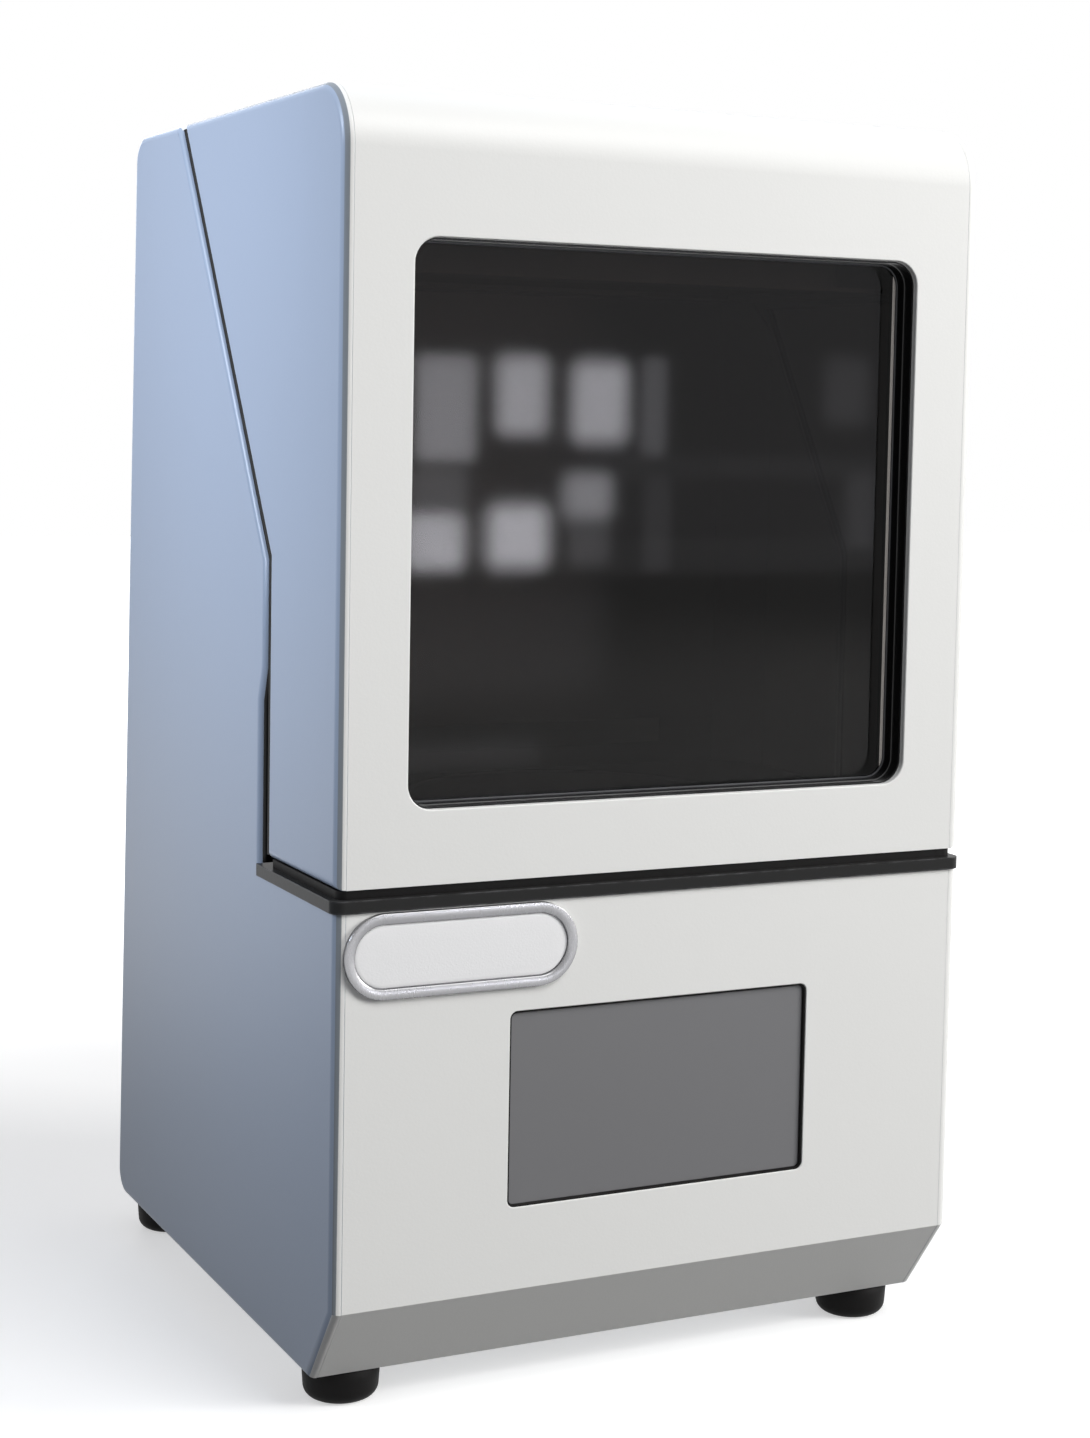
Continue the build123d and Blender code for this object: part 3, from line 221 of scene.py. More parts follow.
def makeBrushLines():
    group, given, out = openGroup(
        "brushLines",
        [("Colour", "Color", (0.5, 0.5, 0.5, 1)), ("Roughness", "Float", 0.3),
         ("Lines", "Vector", (900, 20, 900)), ("Tone", "Float", 0.12)],
        [("Colour", "Color"), ("Roughness", "Float"), ("Height", "Float")],
    )
    place = addNode(group, "TexCoord").outputs["Object"]
    stretched = addNode(group, "Mapping", {"Vector": place, "Scale": given["Lines"]}).outputs[0]
    lines = noise(group, stretched, 1.0, 3.0, 0.6)
    cloud = noise(group, place, 18.0, 3.0)
    streak = doMath(group, "ADD", lines, doMath(group, "MULTIPLY", cloud, 0.5))
    uneven = doMath(group, "SUBTRACT", streak, 0.75)
    shade = doMath(group, "MULTIPLY_ADD", uneven, given["Tone"], 1.0)
    group.links.new(mixColour(group, 1.0, given["Colour"], shade, "MULTIPLY"), out["Colour"])
    rough = doMath(group, "MULTIPLY_ADD", uneven, 0.25, given["Roughness"], clamp=True)
    group.links.new(rough, out["Roughness"])
    group.links.new(lines, out["Height"])
    return group


satinGrain = makeSatinGrain()
edgeWearAndHighlight = makeEdgeWearAndHighlight()
dustFilm = makeDustFilm()
brushLines = makeBrushLines()


def useGroup(tree, group, values):
    made = tree.nodes.new("ShaderNodeGroup")
    made.node_tree = group
    setInputs(tree, made, values)
    return made.outputs


def newFinish(name):
    material = bpy.data.materials.new(name)
    material.use_nodes = True
    tree = material.node_tree
    shader = tree.nodes["Principled BSDF"]
    return material, tree, shader


def setPlain(shader, plain):
    for key, value in plain.items():
        shader.inputs[key].default_value = value


# moulded, painted and rubber surfaces: fine grain, lighter edges that are part wear and part painted
# highlight, and a little dust
moulded = {
    "shell_white": {"colour": "E4E4E2", "wornHighlight": "F2F2F0", "rough": 0.42, "scale": 1100, "grain": 0.05,
                    "tone": 0.02, "wearAndHighlight": 0.2, "dust": 0.05},
    "shell_blue_grey": {"colour": "98A5B7", "wornHighlight": "B4C0CF", "rough": 0.36, "scale": 1100, "grain": 0.05,
                        "tone": 0.04, "wearAndHighlight": 0.5, "dust": 0.04, "specular": 0.25},
    # painted shade: the grey that the turned part of the blue-grey plates' rims gets, on the left and along
    # the top
    "rim_painted_shade": {"colour": "868C91", "wornHighlight": "989DA1", "rough": 0.40, "scale": 1100, "grain": 0.05,
                 "tone": 0.03, "wearAndHighlight": 0.2, "dust": 0.03, "specular": 0.25},
    "gasket_grey": {"colour": "3A3B3E", "wornHighlight": "5A5B5E", "rough": 0.40, "scale": 900, "grain": 0.08,
                    "tone": 0.08, "wearAndHighlight": 0.5, "dust": 0.03, "specular": 0.3},
    "band_black": {"colour": "2A2A2A", "wornHighlight": "77777A", "rough": 0.30, "scale": 1000, "grain": 0.05,
                   "tone": 0.10, "wearAndHighlight": 0.6, "dust": 0.02, "specular": 0.06},
    # the black bezel also glows a little for mirrored rays: a painted reflection of the dim room
    "bezel_black": {"colour": "0D0D0E", "wornHighlight": "3C3C3F", "rough": 0.30, "scale": 1000, "grain": 0.05,
                    "tone": 0.10, "wearAndHighlight": 0.5, "dust": 0.02, "specular": 0.2, "mirrored": 0.8},
    "badge_satin": {"colour": "EDEDEE", "wornHighlight": "F0F0F0", "rough": 0.30, "scale": 1600, "grain": 0.08,
                    "tone": 0.02, "wearAndHighlight": 0.4, "dust": 0.03},
    "dark_plastic": {"colour": "232427", "wornHighlight": "4C4D50", "rough": 0.5, "scale": 700, "grain": 0.10,
                     "tone": 0.12, "wearAndHighlight": 0.3, "dust": 0.12},
    "rocker_plastic": {"colour": "151617", "wornHighlight": "3A3B3E", "rough": 0.22, "scale": 700, "grain": 0.03,
                       "tone": 0.08, "wearAndHighlight": 0.25, "dust": 0.05},
    "black_rubber": {"colour": "070606", "wornHighlight": "24221F", "rough": 0.55, "scale": 600, "grain": 0.14,
                     "tone": 0.20, "wearAndHighlight": 0.25, "dust": 0.02, "specular": 0.12},
    "supply_case": {"colour": "A9ABAE", "wornHighlight": "C9CACC", "rough": 0.40, "scale": 500, "grain": 0.06,
                    "tone": 0.08, "wearAndHighlight": 0.4, "dust": 0.15, "metal": 1.0},
    "circuit_board": {"colour": "1B5636", "wornHighlight": "3B7A55", "rough": 0.34, "scale": 260, "grain": 0.12,
                      "tone": 0.25, "wearAndHighlight": 0.2, "dust": 0.12},
}
grainDepth = 0.00012


def makeMoulded(name, p):
    material, tree, shader = newFinish(name)
    grained = useGroup(tree, satinGrain, {"Colour": paint(p["colour"]), "Roughness": p["rough"],
                                          "Scale": p["scale"], "Tone": p["tone"] * 2})
    wornHighlight = useGroup(tree, edgeWearAndHighlight, {"Colour": grained["Colour"], "WornHighlight": paint(p["wornHighlight"]),
                                     "Amount": p["wearAndHighlight"]})
    dusty = useGroup(tree, dustFilm, {"Colour": wornHighlight["Colour"], "Amount": p["dust"]})
    bump = addNode(tree, "Bump", {"Strength": p["grain"] * 4, "Distance": grainDepth,
                                  "Height": grained["Height"]})
    tree.links.new(dusty["Colour"], shader.inputs["Base Color"])
    tree.links.new(grained["Roughness"], shader.inputs["Roughness"])
    tree.links.new(bump.outputs[0], shader.inputs["Normal"])
    setPlain(shader, {"Metallic": p.get("metal", 0.0), "Specular IOR Level": p.get("specular", 0.4)})
    # painted reflection: the finish glows for first-bounce glossy rays, in place of the dim room that the
    # window mirrors there
    if "mirrored" in p:  # the dim room's brightness, where the window mirrors this finish
        path = addNode(tree, "LightPath").outputs
        firstBounce = doMath(tree, "LESS_THAN", path["Ray Depth"], 1.5)
        paintedReflectionRays = doMath(tree, "MULTIPLY", path["Is Glossy Ray"], firstBounce)
        setPlain(shader, {"Emission Color": (1, 1, 1, 1)})
        tree.links.new(doMath(tree, "MULTIPLY", paintedReflectionRays, p["mirrored"]), shader.inputs["Emission Strength"])
    return material


# rolled, ground and plated metal: lines along the way it was worked
brushed = {
    "reflector_metal": {"colour": "B9BCC0", "rough": 0.34, "lines": (60, 60, 2400), "tone": 0.03,
                        "grain": 0.02},
    "heatsink_metal": {"colour": "A6A9AD", "rough": 0.38, "lines": (900, 30, 900), "tone": 0.15},
    "turntable_metal": {"colour": "B4B7BB", "rough": 0.34, "lines": (1400, 1400, 1400), "tone": 0.05,
                        "grain": 0.02},
    "steel_sheet": {"colour": "94979B", "rough": 0.36, "lines": (40, 800, 800), "tone": 0.18},
    "steel_pin": {"colour": "8C8F93", "rough": 0.24, "lines": (1500, 60, 60), "tone": 0.10},
    "motor_steel": {"colour": "9DA0A4", "rough": 0.32, "lines": (60, 60, 1200), "tone": 0.12},
    "magnet_metal": {"colour": "B8BABD", "rough": 0.16, "lines": (400, 400, 400), "tone": 0.05},
    "brass_pin": {"colour": "C4A45E", "rough": 0.26, "lines": (60, 900, 900), "tone": 0.10},
    "badge_rim_metal": {"colour": "8E8E90", "rough": 0.30, "lines": (2600, 900, 240), "tone": 0.05,
                        "grain": 0.015},
}


def makeBrushed(name, p):
    material, tree, shader = newFinish(name)
    lined = useGroup(tree, brushLines, {"Colour": paint(p["colour"]), "Roughness": p["rough"],
                                        "Lines": p["lines"], "Tone": p["tone"]})
    dusty = useGroup(tree, dustFilm, {"Colour": lined["Colour"], "Amount": 0.05})
    bump = addNode(tree, "Bump", {"Strength": p.get("grain", 0.08), "Distance": grainDepth,
                                  "Height": lined["Height"]})
    tree.links.new(dusty["Colour"], shader.inputs["Base Color"])
    tree.links.new(lined["Roughness"], shader.inputs["Roughness"])
    tree.links.new(bump.outputs[0], shader.inputs["Normal"])
    setPlain(shader, {"Metallic": 1.0})
    return material


# clear, frosted and display surfaces, with a little smudging
smudged = {
    "smoked_pane": {"colour": "524D49", "rough": 0.04, "scale": 60.0, "smudge": 0.05,
                    "plain": {"Transmission Weight": 1.0, "IOR": 1.22}},
    "frosted_lens": {"colour": "E9ECEE", "rough": 0.45, "scale": 60.0, "smudge": 0.10,
                     "plain": {"Transmission Weight": 0.8, "IOR": 1.45}},
    "display_glass": {"colour": "6C6C6E", "rough": 0.30, "scale": 4200.0, "smudge": 0.08,
                      "plain": {"Specular IOR Level": 0.3, "Coat Weight": 0.15, "Coat Roughness": 0.08}},
}


def makeSmudged(name, p):
    material, tree, shader = newFinish(name)
    film = useGroup(tree, satinGrain, {"Colour": paint(p["colour"]), "Roughness": p["rough"],
                                       "Scale": p["scale"], "Tone": 0.05, "Sheen": p["smudge"]})
    tree.links.new(film["Colour"], shader.inputs["Base Color"])
    tree.links.new(film["Roughness"], shader.inputs["Roughness"])
    setPlain(shader, p["plain"])
    return material


ledPhosphor = {"colour": "E2CE58", "rim": "F3F0E2", "rough": 0.35}


def makeLedPhosphor(name, p):
    material, tree, shader = newFinish(name)
    place = addNode(tree, "TexCoord").outputs["Object"]
    grains = addNode(tree, "TexVoronoi", {"Vector": place, "Scale": 1500.0}).outputs["Distance"]
    tree.links.new(mixColour(tree, spread(tree, grains, 0.2, 0.7), paint(p["colour"]), paint(p["rim"])),
                   shader.inputs["Base Color"])
    setPlain(shader, {"Roughness": p["rough"]})
    return material


finishes = {name: makeMoulded(name, p) for name, p in moulded.items()}
finishes.update({name: makeBrushed(name, p) for name, p in brushed.items()})
finishes.update({name: makeSmudged(name, p) for name, p in smudged.items()})
finishes["led_chip"] = makeLedPhosphor("led_chip", ledPhosphor)

slotOf = {part["node"]: part["material_slot"] for part in frame["record"]["subparts"]}
bodyOf = {name: node["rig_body"] for name, node in nodes.items()}
for name, node in nodes.items():
    node.data.materials.clear()
    node.data.materials.append(finishes[slotOf[name]])
print("finishes made:", len(finishes))


# each piece is finished in its place, then handed to the body that carries it
def addPiece(work, name, body, slot, materials=None, replaced=(), smoothAngle=30, weighted=False):
    mesh = bpy.data.meshes.new(name)
    work.to_mesh(mesh)
    work.free()
    for material in materials or [slot]:
        mesh.materials.append(finishes[material])
    mesh.polygons.foreach_set("use_smooth", [True] * len(mesh.polygons))
    mesh.set_sharp_from_angle(angle=radians(smoothAngle))
    piece = bpy.data.objects.new(name, mesh)
    bpy.context.scene.collection.objects.link(piece)
    if weighted:
        modifier = piece.modifiers.new("evenShading", "WEIGHTED_NORMAL")
        modifier.keep_sharp = True
    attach(piece, body)
    if replaced:
        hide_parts(*replaced)


# outer parts keep their solid's shape and get the small edge radii of moulded and folded parts
softEdges = {
    "hood_shell": {"edge": 0.5},
    "hood_cheek_left": {"edge": 0.35, "paleRim": "hood"},
    "hood_cheek_right": {"edge": 0.35, "paleRim": "hood"},
    "side_panel_left": {"edge": 0.35, "paleRim": "body", "rearCorner": 2.9},
    "side_panel_right": {"edge": 0.35, "paleRim": "body", "rearCorner": 2.9},
    "lower_fascia": {"edge": 0.6},
    "column_cap": {"edge": 0.4, "rearCorner": 2.9},
    "rear_panel": {"edge": 0.4, "rearCorner": 2.9},
    "deck_tray": {"edge": 0.4},
    "window_gasket": {"edge": 0.25, "finish": "gasket_grey"},
    "bottom_plate": {"edge": 0.3},
    "display_lens": {"edge": 0.3},
}
seamEdge = 0.12  # where two outer parts meet, so that the seam stays a hairline
softAngle = 28  # edges that turn by more than this are softened, in degrees
rimReach = 4.0  # how far in from the outline the pale rim of a blue-grey plate can lie
backReach = 24.0  # the same at the leaning back
bevelReach = 40.0  # the slanted foot of the front, up from the underside
splitFoot = 170.0  # where the slanted edge towards the hood begins
lowBox, highBox = (Vector(corner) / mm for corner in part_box("side_panel_left"))
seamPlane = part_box("hood_shell")[1][0]


# the turn between two faces as seen along X, where both have a share in the outline
def outlineTurn(edge):
    sides = [Vector((face.normal.y, face.normal.z)) for face in edge.link_faces]
    if len(sides) < 2 or min(side.length for side in sides) < 0.05:
        return 0.0
    return sides[0].angle(sides[1])


def roundRearCorners(work, offset):
    middle = (lowBox.y + highBox.y) / 2 * mm
    ends = [e for e in work.edges if min(v.co.y for v in e.verts) > middle and 0.6 < outlineTurn(e) < 1.0]
    bmesh.ops.bevel(work, geom=ends, offset=offset * mm, offset_type="OFFSET", affect="EDGES",
                    segments=4, profile=0.5, material=-1, clamp_overlap=True)


# the rounded rims of the blue-grey plates take their finish by how far, in degrees, a face has turned away
# from the plate's side: its own finish first, then a grey strip of painted shade, then the shell's white,
# or black at the split as painted shade in the gap; on the right front rim the white comes early, a painted
# highlight
rimTurns = {"own": 45, "frontShadeEnd": 70, "frontLitRightFrom": 20, "hoodOwn": 40, "hoodShadeEnd": 75, "splitOwn": 55}
rimFinishes = ["shell_white", "rim_painted_shade", "bezel_black"]
ownSlot, whiteSlot, shadeSlot, gapShadeSlot = range(4)


def rimSlot(face, rim):
    normal, spot = face.normal, face.calc_center_median() / mm
    across, along = abs(normal.x), Vector((normal.y, normal.z)).length
    away = atan2(along, across) / pi * 180
    onLeft = spot.x < 0
    atTop = spot.z > highBox.z - rimReach and normal.z > abs(normal.y)
    onRoll = spot.y < lowBox.y + bevelReach and spot.z > highBox.z - bevelReach
    atFront = spot.y < lowBox.y + rimReach and -normal.y > abs(normal.z)
    atFront = atFront or onRoll and -normal.y > normal.z
    if atFront and spot.z > lowBox.z + rimReach:
        # painted highlight: on the right the front rim turns white sooner; painted shade: on the left it is
        # grey before the white
        paleFrom = rimTurns["frontShadeEnd"] if onLeft else rimTurns["frontLitRightFrom"]
        if away < min(rimTurns["own"], paleFrom):
            return ownSlot
        return shadeSlot if away < paleFrom else whiteSlot
    if rim == "hood":
        if away < rimTurns["hoodOwn"] or not (atTop or onRoll):
            return ownSlot
        # painted shade: the hood's top rims, and its roll on the left, get a grey strip before the white
        return shadeSlot if away < rimTurns["hoodShadeEnd"] and (onLeft or not onRoll) else whiteSlot
    atSplit = spot.z > splitFoot and spot.y > lowBox.y + rimReach and -normal.y > abs(normal.z)
    if atSplit:
        # painted shade: the rim facing into the split is painted black for the gap's shade
        return ownSlot if away < rimTurns["splitOwn"] else gapShadeSlot
    atFoot = spot.z < lowBox.z + bevelReach
    atBack = spot.y > highBox.y - backReach and normal.y > 0
    return whiteSlot if away > rimTurns["own"] and (atTop or atFoot or atBack) else ownSlot


def onSeam(edge):
    return all(abs(abs(v.co.x) - seamPlane) < 0.2 * mm for v in edge.verts)


def softenEdges(node, p):
    work = bmesh.new()
    work.from_mesh(nodes[node].data)
    bmesh.ops.remove_doubles(work, verts=work.verts, dist=1e-6)
    bmesh.ops.dissolve_limit(work, angle_limit=radians(0.5), verts=work.verts, edges=work.edges)
    if "rearCorner" in p:
        roundRearCorners(work, p["rearCorner"])
    for width, wanted in ((seamEdge, True), (p["edge"], False)):
        folds = [e for e in work.edges if len(e.link_faces) == 2]
        corners = [e for e in folds if e.calc_face_angle() > radians(softAngle)]
        chosen = [e for e in corners if onSeam(e) == wanted]
        bmesh.ops.bevel(work, geom=chosen, offset=width * mm, offset_type="OFFSET", affect="EDGES",
                        segments=3, profile=0.5, material=-1, clamp_overlap=True)
    slots = [p.get("finish", slotOf[node])]
    if "paleRim" in p:
        slots += rimFinishes
        for face in work.faces:
            face.material_index = rimSlot(face, p["paleRim"])
    addPiece(work, node + "_soft", bodyOf[node], slotOf[node], slots, [node], smoothAngle=40, weighted=True)


for node, p in softEdges.items():
    softenEdges(node, p)
print("outer parts softened:", len(softEdges))


# a profile of (radius, height) points is turned round an upright axis and closed at its poles
def turnProfile(points, centre, steps):
    work = bmesh.new()
    spots = [work.verts.new(Vector(centre) + Vector((radius, 0, height)) * mm) for radius, height in points]
    lines = [work.edges.new(pair) for pair in zip(spots, spots[1:])]
    bmesh.ops.spin(work, geom=spots + lines, cent=centre, axis=(0, 0, 1), angle=2 * pi, steps=steps,
                   use_merge=True)
    bmesh.ops.remove_doubles(work, verts=work.verts, dist=1e-7)
    bmesh.ops.recalc_face_normals(work, faces=work.faces)
    return work


# an arc of (radius, height) points between two angles, for the rounded parts of a profile
def arcPoints(centre, radius, start, end, count):
    turns = [radians(start + (end - start) * k / count) for k in range(count + 1)]
    return [(centre[0] + radius * cos(turn), centre[1] + radius * sin(turn)) for turn in turns]


rubberFoot = {"topRadius": 12.7, "waist": 12.4, "waistHeight": 7.0, "round": 4.2, "recess": 5.2,
              "recessDepth": 5.0, "chamfer": 0.3, "lip": 0.4, "steps": 64}


def makeFoot(node, p):
    low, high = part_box(node)
    centre = ((low[0] + high[0]) / 2, (low[1] + high[1]) / 2, 0)
    height, chamfer, lip = high[2] / mm, p["chamfer"], p["lip"]
    profile = [(0, height), (p["topRadius"] - chamfer, height), (p["topRadius"], height - chamfer),
               (p["waist"], p["waistHeight"])]
    profile += arcPoints((p["waist"] - 0.2 - p["round"], p["round"]), p["round"], 0, -90, 8)
    profile += [(p["recess"] + lip, 0), (p["recess"], lip), (p["recess"], p["recessDepth"]),
                (0, p["recessDepth"])]
    addPiece(turnProfile(profile, centre, p["steps"]), node + "_rubber", bodyOf[node], "black_rubber",
             replaced=[node], smoothAngle=50)


for node in nodes:
    if node.startswith("foot_"):
        makeFoot(node, rubberFoot)
print("feet moulded")

# the hood's rubber lip lies along the slanted split, on the cheek's edge
splitSeal = {"top": (41.12, 410.0), "knee": (-52.35, 266.6), "foot": (-52.35, 170.6), "near": -1.75,
             "far": 0.9, "inside": 105.0, "outside": 111.5, "edge": 0.3}


# the line moved square to itself, to the rear where the offset is positive
def layOff(points, offset):
    (topY, topZ), (kneeY, kneeZ), (footY, footZ) = points
    slant = atan2(topY - kneeY, topZ - kneeZ)
    return [(topY + offset * cos(slant), topZ - offset * sin(slant)),
            (kneeY + offset, kneeZ - offset * sin(slant / 2) / cos(slant / 2)),
            (footY + offset, footZ)]


def makeSplitSeal(name, p, side):
    line = [p["top"], p["knee"], p["foot"]]
    outline = layOff(line, p["near"]) + layOff(line, p["far"])[::-1]
    work = bmesh.new()
    corners = [work.verts.new(Vector((side * p["inside"], y, z)) * mm) for y, z in outline]
    face = work.faces.new(corners)
    grown = bmesh.ops.extrude_face_region(work, geom=[face])["geom"]
    moved = [g for g in grown if isinstance(g, bmesh.types.BMVert)]
    bmesh.ops.translate(work, verts=moved, vec=(side * (p["outside"] - p["inside"]) * mm, 0, 0))
    bmesh.ops.recalc_face_normals(work, faces=work.faces)
    bmesh.ops.bevel(work, geom=work.edges[:], offset=p["edge"] * mm, offset_type="OFFSET", affect="EDGES",
                    segments=2, profile=0.5, material=-1, clamp_overlap=True)
    addPiece(work, name, "hood", "black_rubber", weighted=True)


makeSplitSeal("split_seal_left", splitSeal, -1)
makeSplitSeal("split_seal_right", splitSeal, 1)
print("split seals laid")


# a flat stadium on the front, drawn facing it
def stadiumFace(work, middle, length, height, y, segments=72):
    ring = bmesh.ops.create_circle(work, cap_ends=True, segments=segments, radius=height / 2 * mm)["verts"]
    bmesh.ops.rotate(work, verts=ring, cent=(0, 0, 0), matrix=Matrix.Rotation(pi / segments, 3, "Z"))
    for side in (-1, 1):
        half = [v for v in ring if v.co.x * side > 0]
        bmesh.ops.translate(work, verts=half, vec=(side * (length - height) / 2 * mm, 0, 0))
    bmesh.ops.rotate(work, verts=ring, cent=(0, 0, 0), matrix=Matrix.Rotation(pi / 2, 3, "X"))
    bmesh.ops.translate(work, verts=ring, vec=(middle[0] * mm, y * mm, middle[1] * mm))
    return ring[0].link_faces[0]


# raises a face along Y and steps it in: each step is (inwards, outwards)
def stepFace(work, face, rise, steps):
    grown = bmesh.ops.extrude_face_region(work, geom=[face])["geom"]
    raised = next(g for g in grown if isinstance(g, bmesh.types.BMFace))
    bmesh.ops.translate(work, verts=list(raised.verts), vec=(0, -rise * mm, 0))
    bmesh.ops.recalc_face_normals(work, faces=work.faces)
    for inwards, outwards in steps:
        bmesh.ops.inset_individual(work, faces=[raised], thickness=inwards * mm, depth=outwards * mm)
    return raised


badge = {"middle": (-70.75, 149.2), "length": 78.2, "height": 26.6, "rim": 3.3, "proud": 1.7, "floor": 0.4,
         "plateProud": 0.55, "edge": 0.3, "gap": 0.15, "face": -117.0}


def makeBadgeRim(p):
    work = bmesh.new()
    face = stadiumFace(work, p["middle"], p["length"], p["height"], p["face"])
    edge = p["edge"]
    outside = [(edge * 0.3, edge * 0.7), (edge * 0.7, edge * 0.3)]
    inside = [(edge, -edge), (0.02, p["floor"] - p["proud"] + edge)]
    stepFace(work, face, p["proud"] - edge, outside + [(p["rim"] - 2 * edge, 0)] + inside)
    addPiece(work, "badge_rim", "body", "steel_sheet", ["badge_rim_metal"], smoothAngle=50)


def makeBadgePlate(p):
    work = bmesh.new()
    inset = p["rim"] + p["gap"]
    face = stadiumFace(work, p["middle"], p["length"] - 2 * inset, p["height"] - 2 * inset, p["face"] - 0.3)
    stepFace(work, face, p["plateProud"] - p["edge"], [(0.1, 0.2), (0.2, 0.1), (0.9, 0.04), (2.5, 0.04)])
    addPiece(work, "badge_plate", "body", "shell_white", ["badge_satin"], smoothAngle=50)


makeBadgeRim(badge)
makeBadgePlate(badge)
print("badge made, left blank")


def roundedRing(work, middle, width, height, corner, y, turns=6):
    made = bmesh.ops.create_grid(work, x_segments=1, y_segments=1, size=0.5)
    ring = made["verts"]
    bmesh.ops.scale(work, verts=ring, vec=(width * mm, height * mm, 1))
    face = ring[0].link_faces[0]
    bmesh.ops.delete(work, geom=[face], context="FACES_ONLY")
    rounded = bmesh.ops.bevel(work, geom=ring, offset=corner * mm, offset_type="OFFSET", affect="VERTICES",
                              segments=turns, profile=0.5, material=-1, clamp_overlap=True)["verts"]
    bmesh.ops.rotate(work, verts=rounded, cent=(0, 0, 0), matrix=Matrix.Rotation(pi / 2, 3, "X"))
    bmesh.ops.translate(work, verts=rounded, vec=(middle[0] * mm, y * mm, middle[1] * mm))
    return list({e for v in rounded for e in v.link_edges})


displayGasket = {"middle": (0, 96.7), "width": 107.6, "height": 62.7, "corner": 2.45, "wall": 0.7,
                 "back": -115.5, "front": -116.7}


def makeDisplayGasket(p):
    work = bmesh.new()
    wall, back, front = p["wall"], p["back"], p["front"]
    turns = [(0, back), (0, front), (wall * 0.6, front + 0.1), (wall, front + 0.5), (wall, back)]
    rings = [roundedRing(work, p["middle"], p["width"] - 2 * inset, p["height"] - 2 * inset,
                         p["corner"] - inset, y) for inset, y in turns]
    for ring, following in zip(rings, rings[1:] + rings[:1]):
        bmesh.ops.bridge_loops(work, edges=ring + following)
    bmesh.ops.recalc_face_normals(work, faces=work.faces)
    addPiece(work, "display_gasket", "body", "black_rubber", smoothAngle=35)


makeDisplayGasket(displayGasket)
print("display gasket fitted")

turntableDish = {"rimWidth": 2.6, "floorDrop": 0.7, "grooves": (12, 18, 24, 30, 36, 42, 48), "groove": 0.25,
                 "grooveHalf": 0.6, "steps": 144, "ticks": 12, "tickDepth": 0.35, "hub": 7.0}


def makeTurntable(p):
    low, high = (Vector(corner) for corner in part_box("turntable_plate"))
    centre = ((low.x + high.x) / 2, (low.y + high.y) / 2, low.z)
    radius, thick = (high.x - low.x) / 2 / mm, (high.z - low.z) / mm
    floorHeight = thick - p["floorDrop"]
    profile = [(0, 0), (radius - 0.5, 0), (radius, 0.5), (radius, thick - 0.5), (radius - 0.4, thick),
               (radius - p["rimWidth"], thick), (radius - p["rimWidth"] - 0.7, floorHeight)]
    half = p["grooveHalf"]
    for groove in reversed(p["grooves"]):
        profile += [(groove + half, floorHeight), (groove, floorHeight - p["groove"]),
                    (groove - half, floorHeight)]
    profile += [(p["hub"], floorHeight), (p["hub"] - 0.5, thick), (2.2, thick), (1.6, thick - 0.8),
                (0, thick - 0.8)]
    work = turnProfile(profile, centre, p["steps"])
    rim = radius - p["rimWidth"] / 2 - 0.2
    ticks = []
    for face in work.faces:
        spot = (face.calc_center_median() - Vector(centre)) / mm
        turn = atan2(spot.y, spot.x) / (2 * pi) * p["ticks"]
        onRim = abs(Vector((spot.x, spot.y)).length - rim) < 0.5 and face.normal.z > 0.9
        if onRim and abs(turn - round(turn)) < 0.6 * p["ticks"] / p["steps"]:
            ticks.append(face)
    sunk = bmesh.ops.extrude_face_region(work, geom=ticks)["geom"]
    lowered = [g for g in sunk if isinstance(g, bmesh.types.BMVert)]
    bmesh.ops.translate(work, verts=lowered, vec=(0, 0, -p["tickDepth"] * mm))
    bmesh.ops.delete(work, geom=ticks, context="FACES")
    addPiece(work, "turntable_dish", "turntable", "turntable_metal", replaced=["turntable_plate"])


makeTurntable(turntableDish)
print("turntable turned")

# domed screw heads with a hexagonal socket, each set square to its seat
screwHead = {"dome": ((0.45, 1.0), (0.8, 0.88), (1.0, 0.62)), "socket": 0.42, "depth": 0.55, "segments": 20}
joints = {joint["name"]: joint for joint in frame["joints"]}
outwards = Vector(joints["fan_spin"]["axis"])
fanCentre = Vector(joints["fan_spin"]["pos_m"])
upBack = Vector((1, 0, 0)).cross(outwards)


def addScrewHead(work, spot, facing, radius, height):
    loop = bmesh.ops.create_circle(work, cap_ends=True, segments=screwHead["segments"],
                                   radius=radius)["verts"]
    made = list(loop)
    edges = list({e for v in loop for e in v.link_edges})
    for rise, share in screwHead["dome"]:
        grown = bmesh.ops.extrude_edge_only(work, edges=edges)["geom"]
        loop = [g for g in grown if isinstance(g, bmesh.types.BMVert)]
        edges = [g for g in grown if isinstance(g, bmesh.types.BMEdge)]
        edges = [e for e in edges if all(v in loop for v in e.verts)]
        size = share * radius / max(Vector((v.co.x, v.co.y)).length for v in loop)
        bmesh.ops.scale(work, verts=loop, vec=(size, size, 1))
        for v in loop:
            v.co.z = rise * height
        made += loop
    socket = bmesh.ops.create_circle(work, cap_ends=False, segments=6,
                                     radius=screwHead["socket"] * radius)["verts"]
    bmesh.ops.translate(work, verts=socket, vec=(0, 0, height))
    rim = list({e for v in socket for e in v.link_edges})
    made += socket
    bmesh.ops.bridge_loops(work, edges=edges + rim)
    grown = bmesh.ops.extrude_edge_only(work, edges=rim)["geom"]
    sunk = [g for g in grown if isinstance(g, bmesh.types.BMVert)]
    bmesh.ops.translate(work, verts=sunk, vec=(0, 0, -screwHead["depth"] * height))
    made += sunk
    bmesh.ops.contextual_create(work, geom=sunk)
    turned = Vector((0, 0, 1)).rotation_difference(facing).to_matrix().to_4x4()
    bmesh.ops.transform(work, verts=made, matrix=Matrix.Translation(spot) @ turned)


